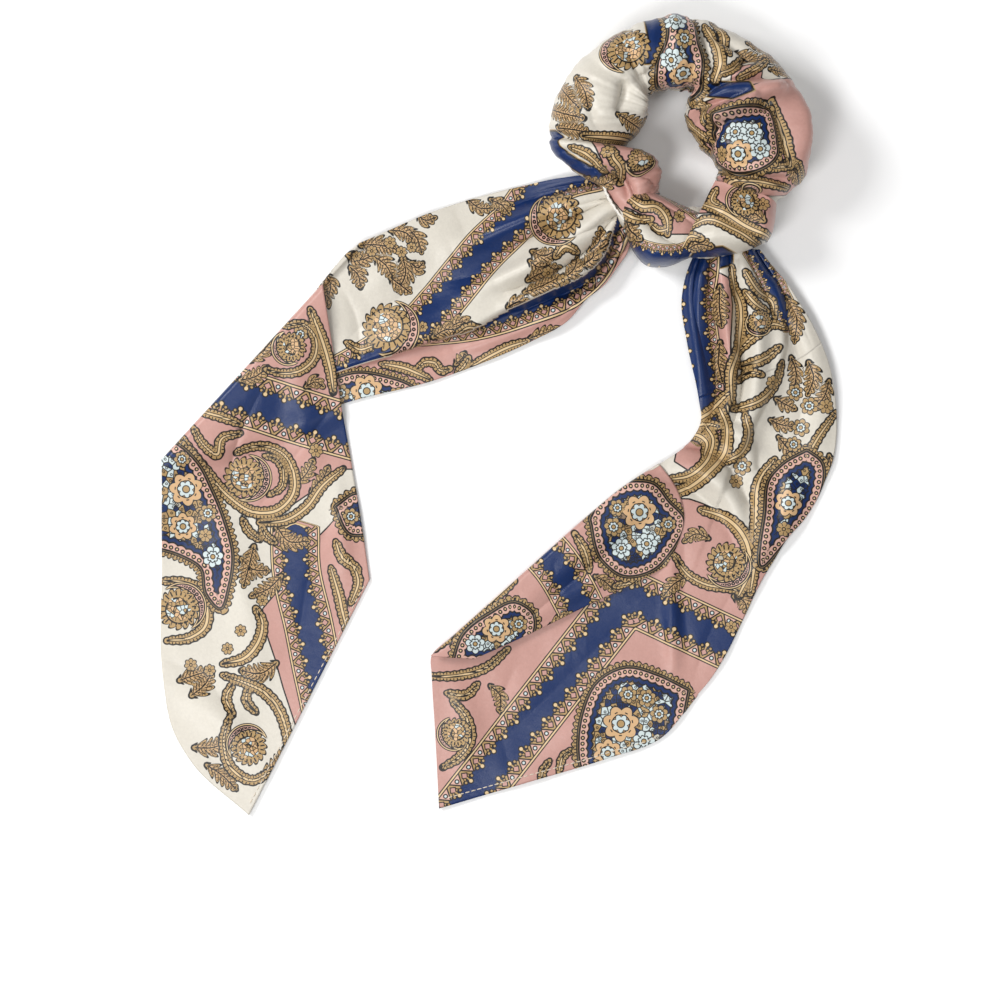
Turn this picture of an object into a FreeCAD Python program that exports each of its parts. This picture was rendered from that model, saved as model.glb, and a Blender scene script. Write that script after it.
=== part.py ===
"""Scarf scrunchie lying flat: an elastic ring in a gathered satin casing, with a satin scarf
tied round the ring's base and its two tails spread out.

Millimetres. The origin is the centre of the whole part's footprint, on the surface it lies on:
+Y points from the scarf's ends to the ring, +Z up.
"""
import FreeCAD, Part
import math
import os
import Sketcher

Vector = FreeCAD.Vector

DIMENSIONS = {
    # the ring: the elastic's line is an ellipse seen from above
    "ring_centre_x": 69.0,
    "ring_centre_y": 107.5,
    "ring_half_width": 30.5,
    "ring_half_length": 38.0,
    "elastic_width": 7.0,
    "elastic_thickness": 1.2,
    "elastic_level": 14.0,
    "tunnel_width": 4.0,
    "tunnel_height": 9.5,
    "casing_split_gap": 0.4,
    # the scarf: heights of the loosely folded double layer above the surface
    "layer_height": 6.0,
    "layer_gap": 0.4,
    "top_layer_height": 11.4,
    "fan_height": 14.0,
    "twist_height": 12.0,
    "knot_base": 1.0,
    "knot_height": 35.0,
    "strand_height": 31.0,
    # the upright axes that the tails swing about, and the round ends that clear them
    "left_pivot_x": 46.0,
    "left_pivot_y": 72.0,
    "left_pivot_reach": 40.0,
    "right_pivot_x": 92.0,
    "right_pivot_y": 63.0,
    "right_pivot_reach": 16.0,
    "swing_gap": 0.4,
    # the line across the right tail where its end lifts
    "lift_line_y": -10.0,
    # thread
    "stitch_length": 2.4,
    "stitch_pitch": 3.6,
    "stitch_thickness": 0.5,
    "stitch_inset": 3.0,
}
SHEET_NAME = "Dimensions"

# Stations round the ring, anticlockwise from +X: angle, casing width and height, lift off the
# surface. The casing is pinched thin where the scarf is tied round it.
UPPER_STATIONS = [
    (0.0, 49.0, 34.0, 0.5),
    (30.0, 41.0, 34.0, 0.5),
    (60.0, 33.0, 31.0, 0.5),
    (90.0, 29.0, 29.0, 0.5),
    (120.0, 33.0, 31.0, 0.5),
    (150.0, 38.0, 34.0, 0.5),
    (180.0, 39.0, 34.0, 0.5),
]
LOWER_STATIONS = [
    (180.0, 39.0, 34.0, 0.5),
    (202.0, 30.0, 27.0, 2.0),
    (225.0, 21.0, 20.0, 3.5),
    (250.0, 18.0, 18.0, 4.0),
    (290.0, 18.0, 18.0, 4.0),
    (318.0, 27.0, 25.0, 3.0),
    (340.0, 41.0, 32.0, 1.5),
    (360.0, 49.0, 34.0, 0.5),
]

# Outlines of the scarf seen from above. A pair of points in a list entry is an arc: the point
# that it passes through, then the point where it ends.
LEFT_FOLD = (Vector(-71, 53), Vector(-135.5, -17.4))
LEFT_TOP_EDGE = [Vector(-8, 88.5), Vector(-40, 77), Vector(-62, 65)]
LEFT_BOTTOM_EDGE = [Vector(-62, 6), Vector(-27, 14.5), Vector(-4, 22.5)]
LEFT_END_CUT = (Vector(-52.5, -65.5), Vector(-101, -160.2))
LEFT_OUTER_EDGE = [Vector(-124, -139), Vector(-131.5, -126), Vector(-135.5, -105)]

RIGHT_LEFT_EDGE = [Vector(73, 46), Vector(75.5, 28), Vector(80, 6)]
RIGHT_RIGHT_EDGE = [Vector(134, 8), Vector(128, 31), Vector(115, 53)]
RIGHT_FOLD = (Vector(33, -42), Vector(-27.5, -96))
RIGHT_END_CUT = (Vector(-24.5, -157.5), Vector(56, -133.5), Vector(78, -113.5))


def make_sheet(doc):
    """The driving dimensions, one per row, each with its alias."""
    sheet = doc.addObject("Spreadsheet::Sheet", SHEET_NAME)
    for row, (alias, value) in enumerate(DIMENSIONS.items(), start=1):
        sheet.set(f"A{row}", alias)
        sheet.set(f"B{row}", str(value))
        sheet.setAlias(f"B{row}", alias)
    return sheet


def bind(feature, prop, expression):
    """Bind a property to the sheet: names in the expression are aliases."""
    for alias in sorted(DIMENSIONS, key=len, reverse=True):
        expression = expression.replace(f"<{alias}>", f"{SHEET_NAME}.{alias}")
    feature.setExpression(prop, expression)


def new_body(doc, label):
    body = doc.addObject("PartDesign::Body", label)
    body.Label = label
    return body


def origin_plane(body, role):
    return next(item for item in body.Origin.OriginFeatures if item.Role == role)


def new_sketch(body, name, offset=None):
    """A sketch on the body's own XY plane, moved by an attachment offset."""
    sketch = body.newObject("Sketcher::SketchObject", name)
    sketch.AttachmentSupport = [(origin_plane(body, "XY_Plane"), "")]
    sketch.MapMode = "FlatFace"
    if offset is not None:
        sketch.AttachmentOffset = offset
    return sketch


def draw_outline(sketch, entries):
    """A closed outline of straight runs and three-point arcs, each joined end to start."""
    first = entries[0]
    here = first
    edges = []
    for entry in entries[1:] + [first]:
        if isinstance(entry, tuple):
            edges.append(Part.Arc(here, entry[0], entry[1]))
            here = entry[1]
        elif here.distanceToPoint(entry) > 1e-6:
            edges.append(Part.LineSegment(here, entry))
            here = entry
    for edge in edges:
        sketch.addGeometry(edge, False)


def pad(body, sketch, name, height):
    feature = body.newObject("PartDesign::Pad", name)
    feature.Profile = sketch
    bind(feature, "Length", height)
    sketch.Visibility = False
    return feature


def pocket_up(body, sketch, name, height):
    """A pocket that cuts upwards from a sketch on the surface plane."""
    feature = body.newObject("PartDesign::Pocket", name)
    feature.Profile = sketch
    feature.Reversed = True
    bind(feature, "Length", height)
    sketch.Visibility = False
    return feature


def flat_sketch_at(body, name, level):
    """A horizontal sketch whose level is bound to the sheet."""
    sketch = new_sketch(body, name)
    bind(sketch, "AttachmentOffset.Base.z", level)
    return sketch


def ring_point(angle):
    """A point on the elastic's line, and the outward direction there."""
    half_x = DIMENSIONS["ring_half_width"]
    half_y = DIMENSIONS["ring_half_length"]
    turn = math.radians(angle)
    point = Vector(half_x * math.cos(turn), half_y * math.sin(turn), 0)
    outward = Vector(math.cos(turn) / half_x, math.sin(turn) / half_y, 0).normalize()
    return point, outward


def station_section(body, station, index):
    """One oval cross-section of the casing, upright and square to the elastic's line."""
    angle, width, height, lift = station
    point, outward = ring_point(angle)
    up = Vector(0, 0, 1)
    turn = FreeCAD.Rotation(outward, up, outward.cross(up), "ZXY")
    centre = Vector(point.x, point.y, lift + height / 2)
    sketch = new_sketch(body, f"{body.Name}_section_{index}", FreeCAD.Placement(centre, turn))
    bind(sketch, "AttachmentOffset.Base.x", f"{point.x:.4f} + <ring_centre_x>")
    bind(sketch, "AttachmentOffset.Base.y", f"{point.y:.4f} + <ring_centre_y>")
    if width > height:
        sketch.addGeometry(Part.Ellipse(Vector(), width / 2, height / 2), False)
    else:
        sketch.addGeometry(Part.Circle(Vector(), Vector(0, 0, 1), width / 2), False)
    return sketch


def ring_band_sketch(body, name, thickness):
    """Two concentric ellipses either side of the elastic's line, at the elastic's level."""
    sketch = new_sketch(body, name)
    bind(sketch, "AttachmentOffset.Base.x", "<ring_centre_x>")
    bind(sketch, "AttachmentOffset.Base.y", "<ring_centre_y>")
    bind(sketch, "AttachmentOffset.Base.z", "<elastic_level>")
    long_half = DIMENSIONS["ring_half_length"]
    short_half = DIMENSIONS["ring_half_width"]
    for side in (1, -1):
        grow = side * thickness / 2
        long_end = Vector(0, long_half + grow, 0)
        short_end = Vector(short_half + grow, 0, 0)
        sketch.addGeometry(Part.Ellipse(long_end, short_end, Vector()), False)
    return sketch


def both_ways(feature):
    """Let a pad or pocket grow equally to both sides of its sketch."""
    feature.Midplane = True


def make_ring_solid(doc, label, stations):
    """A closed solid of one half of the ring: a loft through its stations."""
    body = new_body(doc, label)
    sections = [station_section(body, station, index) for index, station in enumerate(stations)]
    loft = body.newObject("PartDesign::AdditiveLoft", f"{label}_cloth")
    loft.Profile = sections[0]
    loft.Sections = sections[1:]
    for sketch in sections:
        sketch.Visibility = False
    return body


def make_casing_half(doc, label, stations, side):
    """One half of the gathered casing, with the elastic's tunnel through it. It is trimmed back
    from the line that parts the halves, so that they clear each other."""
    body = make_ring_solid(doc, label, stations)
    tunnel_sketch = ring_band_sketch(body, f"{label}_tunnel_outline", DIMENSIONS["tunnel_width"])
    tunnel = body.newObject("PartDesign::Pocket", f"{label}_tunnel")
    tunnel.Profile = tunnel_sketch
    both_ways(tunnel)
    bind(tunnel, "Length", "<tunnel_height>")
    tunnel_sketch.Visibility = False
    split_sketch = new_sketch(body, f"{label}_split_outline")
    middle = DIMENSIONS["ring_centre_y"]
    edge = middle + side * DIMENSIONS["casing_split_gap"] / 2
    far = middle - side * 1.0
    corners = [Vector(0, edge), Vector(140, edge), Vector(140, far), Vector(0, far)]
    draw_outline(split_sketch, corners)
    pocket_up(body, split_sketch, f"{label}_split", "<knot_height> + 10")
    return body


def make_elastic_band(doc):
    """The flat woven elastic, standing on edge in the tunnel, with its ends joined."""
    body = new_body(doc, "elastic_band")
    sketch = ring_band_sketch(body, "elastic_outline", DIMENSIONS["elastic_thickness"])
    band = body.newObject("PartDesign::Pad", "elastic_weave")
    band.Profile = sketch
    both_ways(band)
    bind(band, "Length", "<elastic_width>")
    sketch.Visibility = False
    return body


def make_group(doc, label, members):
    """Separate small solids that share one node."""
    group = doc.addObject("Part::Compound", label)
    group.Links = members
    group.Label = label
    return group


def make_stitch_row(doc, label, start, end, level):
    """A row of thread stitches along a straight line: one small bar for each stitch."""
    run = end - start
    count = int(run.Length // DIMENSIONS["stitch_pitch"])
    step = run / count
    turn = FreeCAD.Rotation(Vector(1, 0, 0), run)
    bars = []
    for index in range(count):
        bar = doc.addObject("Part::Box", f"{label}_{index + 1}")
        bind(bar, "Length", "<stitch_length>")
        bind(bar, "Width", "<stitch_thickness>")
        bind(bar, "Height", "<stitch_thickness>")
        place = start + step * (index + 0.2)
        bar.Placement = FreeCAD.Placement(Vector(place.x, place.y, 0), turn)
        bind(bar, "Placement.Base.z", level)
        bars.append(bar)
    return make_group(doc, label, bars)


def make_elastic_join(doc):
    """The zigzag tack that holds the elastic's lapped ends: short upright bars outside it."""
    foot, _ = ring_point(270)
    count = 6
    spacing = 1.6
    bars = []
    for index in range(count):
        bar = doc.addObject("Part::Box", f"elastic_tack_{index + 1}")
        bind(bar, "Length", "<stitch_thickness>")
        bind(bar, "Width", "<stitch_thickness>")
        bind(bar, "Height", "<elastic_width> - 2")
        along = (index - (count - 1) / 2) * spacing
        bind(bar, "Placement.Base.x", f"<ring_centre_x> + {along:.2f} - <stitch_thickness> / 2")
        bind(bar, "Placement.Base.y", f"<ring_centre_y> + {foot.y:.2f}"
             " - <elastic_thickness> / 2 - <stitch_thickness> - 0.05")
        bind(bar, "Placement.Base.z", "<elastic_level> - <elastic_width> / 2 + 1")
        bars.append(bar)
    return make_group(doc, "elastic_join_stitches", bars)


def make_casing_closing(doc):
    """The stitches that close the casing's tube: short bars one above another, on the side
    of the ring that faces the hair, just above the left of the knot."""
    angle, width, height, lift = LOWER_STATIONS[1]
    point, outward = ring_point(angle)
    centre = Vector(DIMENSIONS["ring_centre_x"], DIMENSIONS["ring_centre_y"])
    place = centre + point - outward * (width / 2 + 0.1)
    turn = FreeCAD.Rotation(Vector(0, 1, 0), outward * -1)
    count = 4
    spacing = 2.0
    bars = []
    for index in range(count):
        bar = doc.addObject("Part::Box", f"casing_stitch_{index + 1}")
        bind(bar, "Length", "<stitch_length>")
        bind(bar, "Width", "<stitch_thickness>")
        bind(bar, "Height", "<stitch_thickness>")
        level = lift + height / 2 + (index - (count - 1) / 2) * spacing
        bar.Placement = FreeCAD.Placement(Vector(place.x, place.y, level), turn)
        bars.append(bar)
    return make_group(doc, "ring_closing_stitches", bars)


def pivot_point(side, angle, extra=0.0):
    """A point on the round end about a tail's swing axis."""
    centre = Vector(DIMENSIONS[f"{side}_pivot_x"], DIMENSIONS[f"{side}_pivot_y"])
    reach = DIMENSIONS[f"{side}_pivot_reach"] + extra
    turn = math.radians(angle)
    return centre + Vector(math.cos(turn), math.sin(turn)) * reach


def make_slab(doc, label, outline, height):
    """A closed solid of a stretch of scarf, lying on the surface."""
    body = new_body(doc, label)
    sketch = new_sketch(body, f"{label}_outline")
    draw_outline(sketch, outline)
    pad(body, sketch, f"{label}_cloth", height)
    return body


def make_raised_block(doc, name, outline, base, top):
    """A closed block between two levels, used for the knot's turns of cloth."""
    body = new_body(doc, name)
    sketch = flat_sketch_at(body, f"{name}_outline", base)
    draw_outline(sketch, outline)
    pad(body, sketch, f"{name}_cloth", f"{top} - {base}")
    return body


def cut_away(doc, label, blank, tools):
    """The blank with the shapes that it wraps or leans against taken out of it."""
    result = blank
    for index, tool in enumerate(tools):
        cut = doc.addObject("Part::Cut", f"{label}_cut_{index + 1}")
        cut.Base = result
        cut.Tool = tool
        result = cut
    result.Label = label
    return result


def make_left_tail(doc):
    """The left tail: a fan from the knot, a ribbon fold, and the end lying over the fan."""
    inner_start, inner_middle, inner_end = (pivot_point("left", turn) for turn in (156, 198, 240))
    root_outline = [Vector(44, 93), Vector(26, 92), inner_start, (inner_middle, inner_end)]
    root_outline += [Vector(34, 45), Vector(45, 55), Vector(48, 62)]
    root = make_slab(doc, "left_tail_root_blank", root_outline, "<fan_height>")

    gap = DIMENSIONS["swing_gap"]
    start, middle, end = (pivot_point("left", turn, gap) for turn in (240, 198, 156))
    fold_top, fold_foot = LEFT_FOLD
    outline = LEFT_TOP_EDGE + [fold_top, fold_foot] + LEFT_BOTTOM_EDGE
    outline += [start, (middle, end)]
    upper = make_slab(doc, "left_tail_upper", outline, "<layer_height>")
    ridge_sketch = new_sketch(upper, "left_tail_ridge_outline")
    ridge = [Vector(-8, 84), Vector(-42, 62), Vector(-40, 24), Vector(-4, 28)]
    draw_outline(ridge_sketch, ridge + [start, (middle, end)])
    pad(upper, ridge_sketch, "left_tail_gathers", "<twist_height>")

    lower_outline = [fold_top, Vector(-64, 6), Vector(-60, -20), LEFT_END_CUT[0]]
    lower_outline += [LEFT_END_CUT[1]] + LEFT_OUTER_EDGE + [fold_foot]
    lower = make_slab(doc, "left_tail_lower", lower_outline, "<top_layer_height>")
    bed_sketch = new_sketch(lower, "left_fold_bed_outline")
    bed = [Vector(-68, 58), Vector(-141, -19), Vector(-134, -24), Vector(-56, 2), Vector(-56, 30)]
    draw_outline(bed_sketch, bed)
    pocket_up(lower, bed_sketch, "left_fold_bed", "<layer_height> + <layer_gap>")
    return root, upper, lower


def make_right_tail(doc):
    """The right tail: a gathered stretch from the knot, the twist and end, and a folded flap."""
    line = DIMENSIONS["lift_line_y"]
    half_gap = DIMENSIONS["swing_gap"] / 2
    inner_start, inner_middle, inner_end = (pivot_point("right", turn) for turn in (200, 270, 340))
    root_outline = [Vector(86, 63), inner_start, (inner_middle, inner_end), Vector(102, 64)]
    root = make_slab(doc, "right_tail_root_blank", root_outline, "<fan_height>")

    gap = DIMENSIONS["swing_gap"]
    start, middle, end = (pivot_point("right", turn, gap) for turn in (340, 270, 200))
    outline = [Vector(75, 56)] + RIGHT_LEFT_EDGE + [Vector(77, line + half_gap)]
    outline += [Vector(135.5, line + half_gap)] + RIGHT_RIGHT_EDGE + [start, (middle, end)]
    upper = make_slab(doc, "right_tail_upper", outline, "<twist_height>")

    fold_top, fold_foot = RIGHT_FOLD
    twist = [Vector(77, line - half_gap), Vector(64, -18), Vector(45, -31), fold_top]
    twist += [Vector(64, -66), Vector(99, -76), Vector(117, -47), Vector(131, -25)]
    twist += [Vector(135.5, line - half_gap)]
    lower = make_slab(doc, "right_tail_lower", twist, "<twist_height>")
    end_sketch = new_sketch(lower, "right_end_outline")
    end_outline = [fold_top, fold_foot, *RIGHT_END_CUT, Vector(99, -76), Vector(64, -60)]
    draw_outline(end_sketch, end_outline)
    pad(lower, end_sketch, "right_end_cloth", "<layer_height>")

    flap = new_body(doc, "right_tail_flap")
    flap_sketch = flat_sketch_at(flap, "flap_outline", "<layer_height> + <layer_gap>")
    flap_outline = [Vector(31, -45.5), Vector(-26.5, -96), Vector(56, -68.5)]
    draw_outline(flap_sketch, flap_outline)
    pad(flap, flap_sketch, "flap_cloth", "<top_layer_height> - <layer_height> - <layer_gap>")
    return root, upper, lower, flap


def make_knot(doc, left_root, right_root):
    """The half knot round the ring's base: a strand beneath, a flat band over it, and the
    first stretch of each tail, all cut to the casing that they wrap."""
    ring = make_ring_solid(doc, "wrapped_ring", LOWER_STATIONS)
    band_outline = [Vector(81.5, 91.5), Vector(70, 66), Vector(75, 62), Vector(108, 65.5)]
    band_outline += [Vector(110, 81)]
    band_blank = make_raised_block(doc, "band_blank", band_outline, "<knot_base>", "<knot_height>")
    band = cut_away(doc, "knot_over_band", band_blank, [ring, right_root])

    strand_outline = [Vector(44, 88), Vector(56, 94), Vector(66, 88), Vector(78, 82)]
    strand_outline += [Vector(74, 60), Vector(62, 62), Vector(49, 74)]
    strand_blank = make_raised_block(
        doc, "strand_blank", strand_outline, "<knot_base>", "<strand_height>")
    strand = cut_away(
        doc, "knot_under_strand", strand_blank, [ring, band_blank, left_root])

    left = cut_away(doc, "left_tail_root", left_root, [ring])
    right = cut_away(doc, "right_tail_root", right_root, [ring])
    return [strand, band, left, right]


def inset_line(start, end, inset, trim):
    """A line beside the edge from start to end, moved in to its left and shortened."""
    along = (end - start).normalize()
    inward = Vector(-along.y, along.x)
    return start + inward * inset + along * trim, end + inward * inset - along * trim


def make_thread(doc):
    """The rows of stitches that close the casing and the scarf's two ends."""
    inset = DIMENSIONS["stitch_inset"]
    trim = 3.0
    left = inset_line(LEFT_END_CUT[1], LEFT_END_CUT[0], inset, trim)
    left_row = make_stitch_row(doc, "left_end_stitches", *left, "<top_layer_height>")
    right = inset_line(RIGHT_END_CUT[0], RIGHT_END_CUT[1], inset, trim)
    right_row = make_stitch_row(doc, "right_end_stitches", *right, "<layer_height>")
    return [left_row, right_row, make_casing_closing(doc)]


def check(doc, pieces):
    """Stop if any object failed to recompute, or a sub-part has no valid solid."""
    for item in doc.Objects:
        broken = {"Invalid", "Error"} & set(item.State)
        if broken:
            raise RuntimeError(f"{item.Label} did not recompute: {item.State}")
    for piece in pieces:
        shape = piece.Shape
        if shape.isNull() or not shape.isValid() or not shape.Solids:
            raise RuntimeError(f"{piece.Label} has no valid solid")


def main():
    os.makedirs("parts", exist_ok=True)
    doc = FreeCAD.newDocument("scarf_scrunchie")
    make_sheet(doc)
    doc.recompute()

    pieces = [
        make_casing_half(doc, "ring_casing_upper", UPPER_STATIONS, side=1),
        make_casing_half(doc, "ring_casing_lower", LOWER_STATIONS, side=-1),
        make_elastic_band(doc),
        make_elastic_join(doc),
    ]
    left_root, left_upper, left_lower = make_left_tail(doc)
    right_root, right_upper, right_lower, flap = make_right_tail(doc)
    pieces += [left_upper, left_lower, right_upper, right_lower, flap]
    pieces += make_knot(doc, left_root, right_root)
    pieces += make_thread(doc)

    doc.recompute()
    check(doc, pieces)
    for piece in pieces:
        piece.Shape.exportStep(f"parts/{piece.Label}.step")
        box = piece.Shape.BoundBox
        print(f"{piece.Label}: {piece.Shape.Volume:.0f} mm3,"
              f" x {box.XMin:.1f} to {box.XMax:.1f}, y {box.YMin:.1f} to {box.YMax:.1f},"
              f" z {box.ZMin:.1f} to {box.ZMax:.1f}")


main()
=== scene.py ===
import math

import bmesh
import bpy
import numpy as np
from mathutils import Matrix, Vector


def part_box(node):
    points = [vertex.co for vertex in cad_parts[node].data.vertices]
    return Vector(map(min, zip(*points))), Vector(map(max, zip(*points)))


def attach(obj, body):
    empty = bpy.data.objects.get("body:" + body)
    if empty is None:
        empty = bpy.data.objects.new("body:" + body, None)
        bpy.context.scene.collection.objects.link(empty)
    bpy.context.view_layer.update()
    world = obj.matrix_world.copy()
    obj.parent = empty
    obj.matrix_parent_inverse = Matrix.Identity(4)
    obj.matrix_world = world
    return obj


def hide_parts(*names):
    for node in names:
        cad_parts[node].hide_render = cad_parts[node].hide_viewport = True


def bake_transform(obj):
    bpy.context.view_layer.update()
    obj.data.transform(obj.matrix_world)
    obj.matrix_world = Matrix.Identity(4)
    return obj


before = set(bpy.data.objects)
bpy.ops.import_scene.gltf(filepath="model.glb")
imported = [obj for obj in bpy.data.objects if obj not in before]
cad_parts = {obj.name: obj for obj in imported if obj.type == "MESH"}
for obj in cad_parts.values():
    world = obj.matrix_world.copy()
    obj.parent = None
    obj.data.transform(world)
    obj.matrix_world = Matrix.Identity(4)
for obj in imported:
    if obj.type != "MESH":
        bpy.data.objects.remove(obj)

# Lengths in this file are in millimetres until they are written to a mesh.
MM = 0.001
TURN = 2 * math.pi
CLOTH_THICK = 0.8
CLEAR = 0.5            # how far a cloth's middle stays above what it lies on
STEP_EDGE = 0.9        # half the width in which an overlap's edge rises
FAR = 99.0             # the distance that means nothing is near


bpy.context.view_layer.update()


def node_middle(name):
    """A node's middle and its size."""
    low, high = (np.array(corner[:]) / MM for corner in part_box(name))
    return (low + high) / 2, high - low


# ---------------------------------------------------------------- lines and outlines

def through(points, closed=False):
    """A smooth line through given points; it gives the place at each share from 0 to 1."""
    knots = np.array(points, float)
    if closed:
        knots = np.concatenate([knots[-3:], knots, knots[:3]])
    step = np.linalg.norm(np.diff(knots[:, :2], axis=0), axis=1)
    at = np.concatenate([[0.0], np.cumsum(step)])
    slope = np.gradient(knots, at, axis=0)
    first, last = (at[3], at[-3]) if closed else (0.0, at[-1])

    def place(share):
        share = np.clip(np.atleast_1d(np.asarray(share, float)), 0, 1)
        s = first + share * (last - first)
        i = np.clip(np.searchsorted(at, s, side="right") - 1, 0, len(at) - 2)
        gap = at[i + 1] - at[i]
        t = ((s - at[i]) / gap)[:, None]
        gap = gap[:, None]
        return ((2 * t**3 - 3 * t**2 + 1) * knots[i] + (t**3 - 2 * t**2 + t) * gap * slope[i]
                + (3 * t**2 - 2 * t**3) * knots[i + 1] + (t**3 - t**2) * gap * slope[i + 1])

    return place


def straight(a, b):
    a, b = np.array(a, float), np.array(b, float)
    return lambda share: a + (b - a) * np.atleast_1d(np.asarray(share, float))[:, None]


def spread(low, high, start, end):
    """A flat layout between four edge lines that meet at their ends."""
    c00, c01 = start(0.0), start(1.0)
    c10, c11 = end(0.0), end(1.0)

    def layout(u, v):
        uu, vv = u[:, None], v[:, None]
        sides = (1 - vv) * low(u) + vv * high(u)
        ends = (1 - uu) * start(v) + uu * end(v)
        corners = ((1 - uu) * ((1 - vv) * c00 + vv * c01) + uu * ((1 - vv) * c10 + vv * c11))
        return sides + ends - corners

    return layout


def ease(x):
    x = np.clip(x, 0, 1)
    return x * x * (3 - 2 * x)


def above_table(level):
    """Eases a cloth's low places up, so that its middle stays clear of what it lies on."""
    return CLEAR + CLEAR * np.log1p(np.exp(np.clip((level - CLEAR) / CLEAR, -20, 60)))


def line_of(points, count=14):
    """Given points made a smooth line of short runs."""
    if len(points) == 2:
        return np.array(points, float)
    return through(points)(np.linspace(0, 1, max(count, 5 * len(points))))


def beside(xy, line, reach):
    """For each place: signed distance from a line, length along it and share along it."""
    away = np.full(len(xy), FAR)
    along = np.zeros(len(xy))
    low, high = line.min(0) - reach, line.max(0) + reach
    near = np.nonzero(((xy > low) & (xy < high)).all(1))[0]
    if not len(near):
        return away, along, along
    a, b = line[:-1], line[1:]
    run = b - a
    length = np.maximum(np.linalg.norm(run, axis=1), 1e-6)
    start = np.concatenate([[0], np.cumsum(length)[:-1]])
    rel = xy[near][:, None, :] - a[None]
    t = np.clip((rel * run).sum(2) / length**2, 0, 1)
    off = rel - t[..., None] * run
    dist = np.hypot(off[..., 0], off[..., 1])
    best = dist.argmin(1)
    rows = np.arange(len(near))
    side = np.sign(run[best, 0] * rel[rows, best, 1] - run[best, 1] * rel[rows, best, 0])
    side[side == 0] = 1
    away[near] = dist[rows, best] * side
    along[near] = start[best] + t[rows, best] * length[best]
    return away, along, along / length.sum()


def inside_distance(xy, outline):
    """Signed distance from a closed outline, positive inside, and the length along it."""
    line = np.array(list(outline) + [outline[0]], float)
    away, along, _ = beside(xy, line, 400.0)
    inside = np.zeros(len(xy), bool)
    for (x1, y1), (x2, y2) in zip(line[:-1], line[1:]):
        crosses = (y1 > xy[:, 1]) != (y2 > xy[:, 1])
        level = np.where(crosses, (x2 - x1) * (xy[:, 1] - y1) / (y2 - y1 if y2 != y1 else 1) + x1, 0)
        inside ^= crosses & (xy[:, 0] < level)
    return np.where(inside, np.abs(away), -np.abs(away)), along


# ---------------------------------------------------------------- cloth

def move_to(mesh, places):
    """Moves every vertex to its place, which is in millimetres."""
    for vert, place in zip(mesh.verts, places * MM):
        vert.co = place


def thicken(piece, name, thickness, offset=0):
    shell = piece.modifiers.new(name, "SOLIDIFY")
    shell.thickness = thickness * MM
    shell.offset = offset


def make_cloth(name, rows, columns, place):
    """A sheet of cloth: a grid moved into its folds, and the flat layout of its print."""
    mesh = bmesh.new()
    bmesh.ops.create_grid(mesh, x_segments=len(rows) - 1, y_segments=len(columns) - 1, size=0.5)
    mesh.verts.ensure_lookup_table()
    grid = np.array([v.co[:2] for v in mesh.verts]) + 0.5
    u = np.asarray(rows)[np.rint(grid[:, 0] * (len(rows) - 1)).astype(int)]
    v = np.asarray(columns)[np.rint(grid[:, 1] * (len(columns) - 1)).astype(int)]
    shape, layout = place(u, v)
    move_to(mesh, shape)
    piece = finish_mesh(mesh, name)
    thicken(piece, "cloth thickness", CLOTH_THICK)
    return piece, layout


def finish_mesh(mesh, name, outward=False):
    if outward:
        bmesh.ops.recalc_face_normals(mesh, faces=mesh.faces[:])
    for face in mesh.faces:
        face.smooth = True
    data = bpy.data.meshes.new(name)
    mesh.to_mesh(data)
    mesh.free()
    piece = bpy.data.objects.new(name, data)
    bpy.context.scene.collection.objects.link(piece)
    return piece


def keep_field(piece, name, x, y=0.0, z=0.0, domain="POINT"):
    """One printed layer's field, kept on the piece as an attribute."""
    values = np.zeros((len(x), 3), np.float32)
    values[:, 0], values[:, 1], values[:, 2] = x, y, z
    field = piece.data.attributes.new(name, "FLOAT_VECTOR", domain)
    field.data.foreach_set("vector", values.ravel())


def fold_heights(xy, folds, depth=1.0):
    """Height that folds add: round ridges, sharp furrows and overlapping steps.

    Each fold is its kind, its height, its width and the line that it runs along.
    """
    height = np.zeros(len(xy))
    for kind, tall, width, points in folds:
        tall = tall * depth
        line = line_of(points)
        away, _, share = beside(xy, line, 6 * width + 12)
        fade = np.sin(np.pi * np.clip(share, 0.02, 0.98)) ** 0.5
        if kind == "ridge":
            height += tall * fade * np.exp(-(away / width) ** 2)
        elif kind == "furrow":
            height -= tall * fade * np.exp(-np.abs(away) / width)
        else:
            rise = 0.5 + 0.5 * np.tanh(away / STEP_EDGE)
            back = np.exp(-np.clip(away, 0, None) / width)
            height += np.where(np.abs(away) < 90, tall * fade * rise * back, 0)
    return height


# ---------------------------------------------------------------- the print's layout

# A design holds shapes on the flat cloth: pink, blue and medallions are outlines; a
# stripe is its middle line and scale; a corner is its tip, its two legs' directions and scale; a
# scroll or a leaf is its half width and its middle line; a bloom or a head is its middle and radius.
DEEP = -50.0           # the depth that means well outside every panel
STRIPE_POINT = 3.2     # how fast a stripe narrows past its end


class Nearest:
    """Keeps, for each place, the values of the shape that is nearest to it so far."""

    def __init__(self, count, *values):
        self.gap = np.full(count, FAR)
        self.values = [np.full(count, value) for value in values]

    def take(self, gap, *values, where=True):
        nearer = (gap < self.gap) & where
        self.gap = np.where(nearer, gap, self.gap)
        self.values = [np.where(nearer, new, old) for new, old in zip(values, self.values)]


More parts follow.
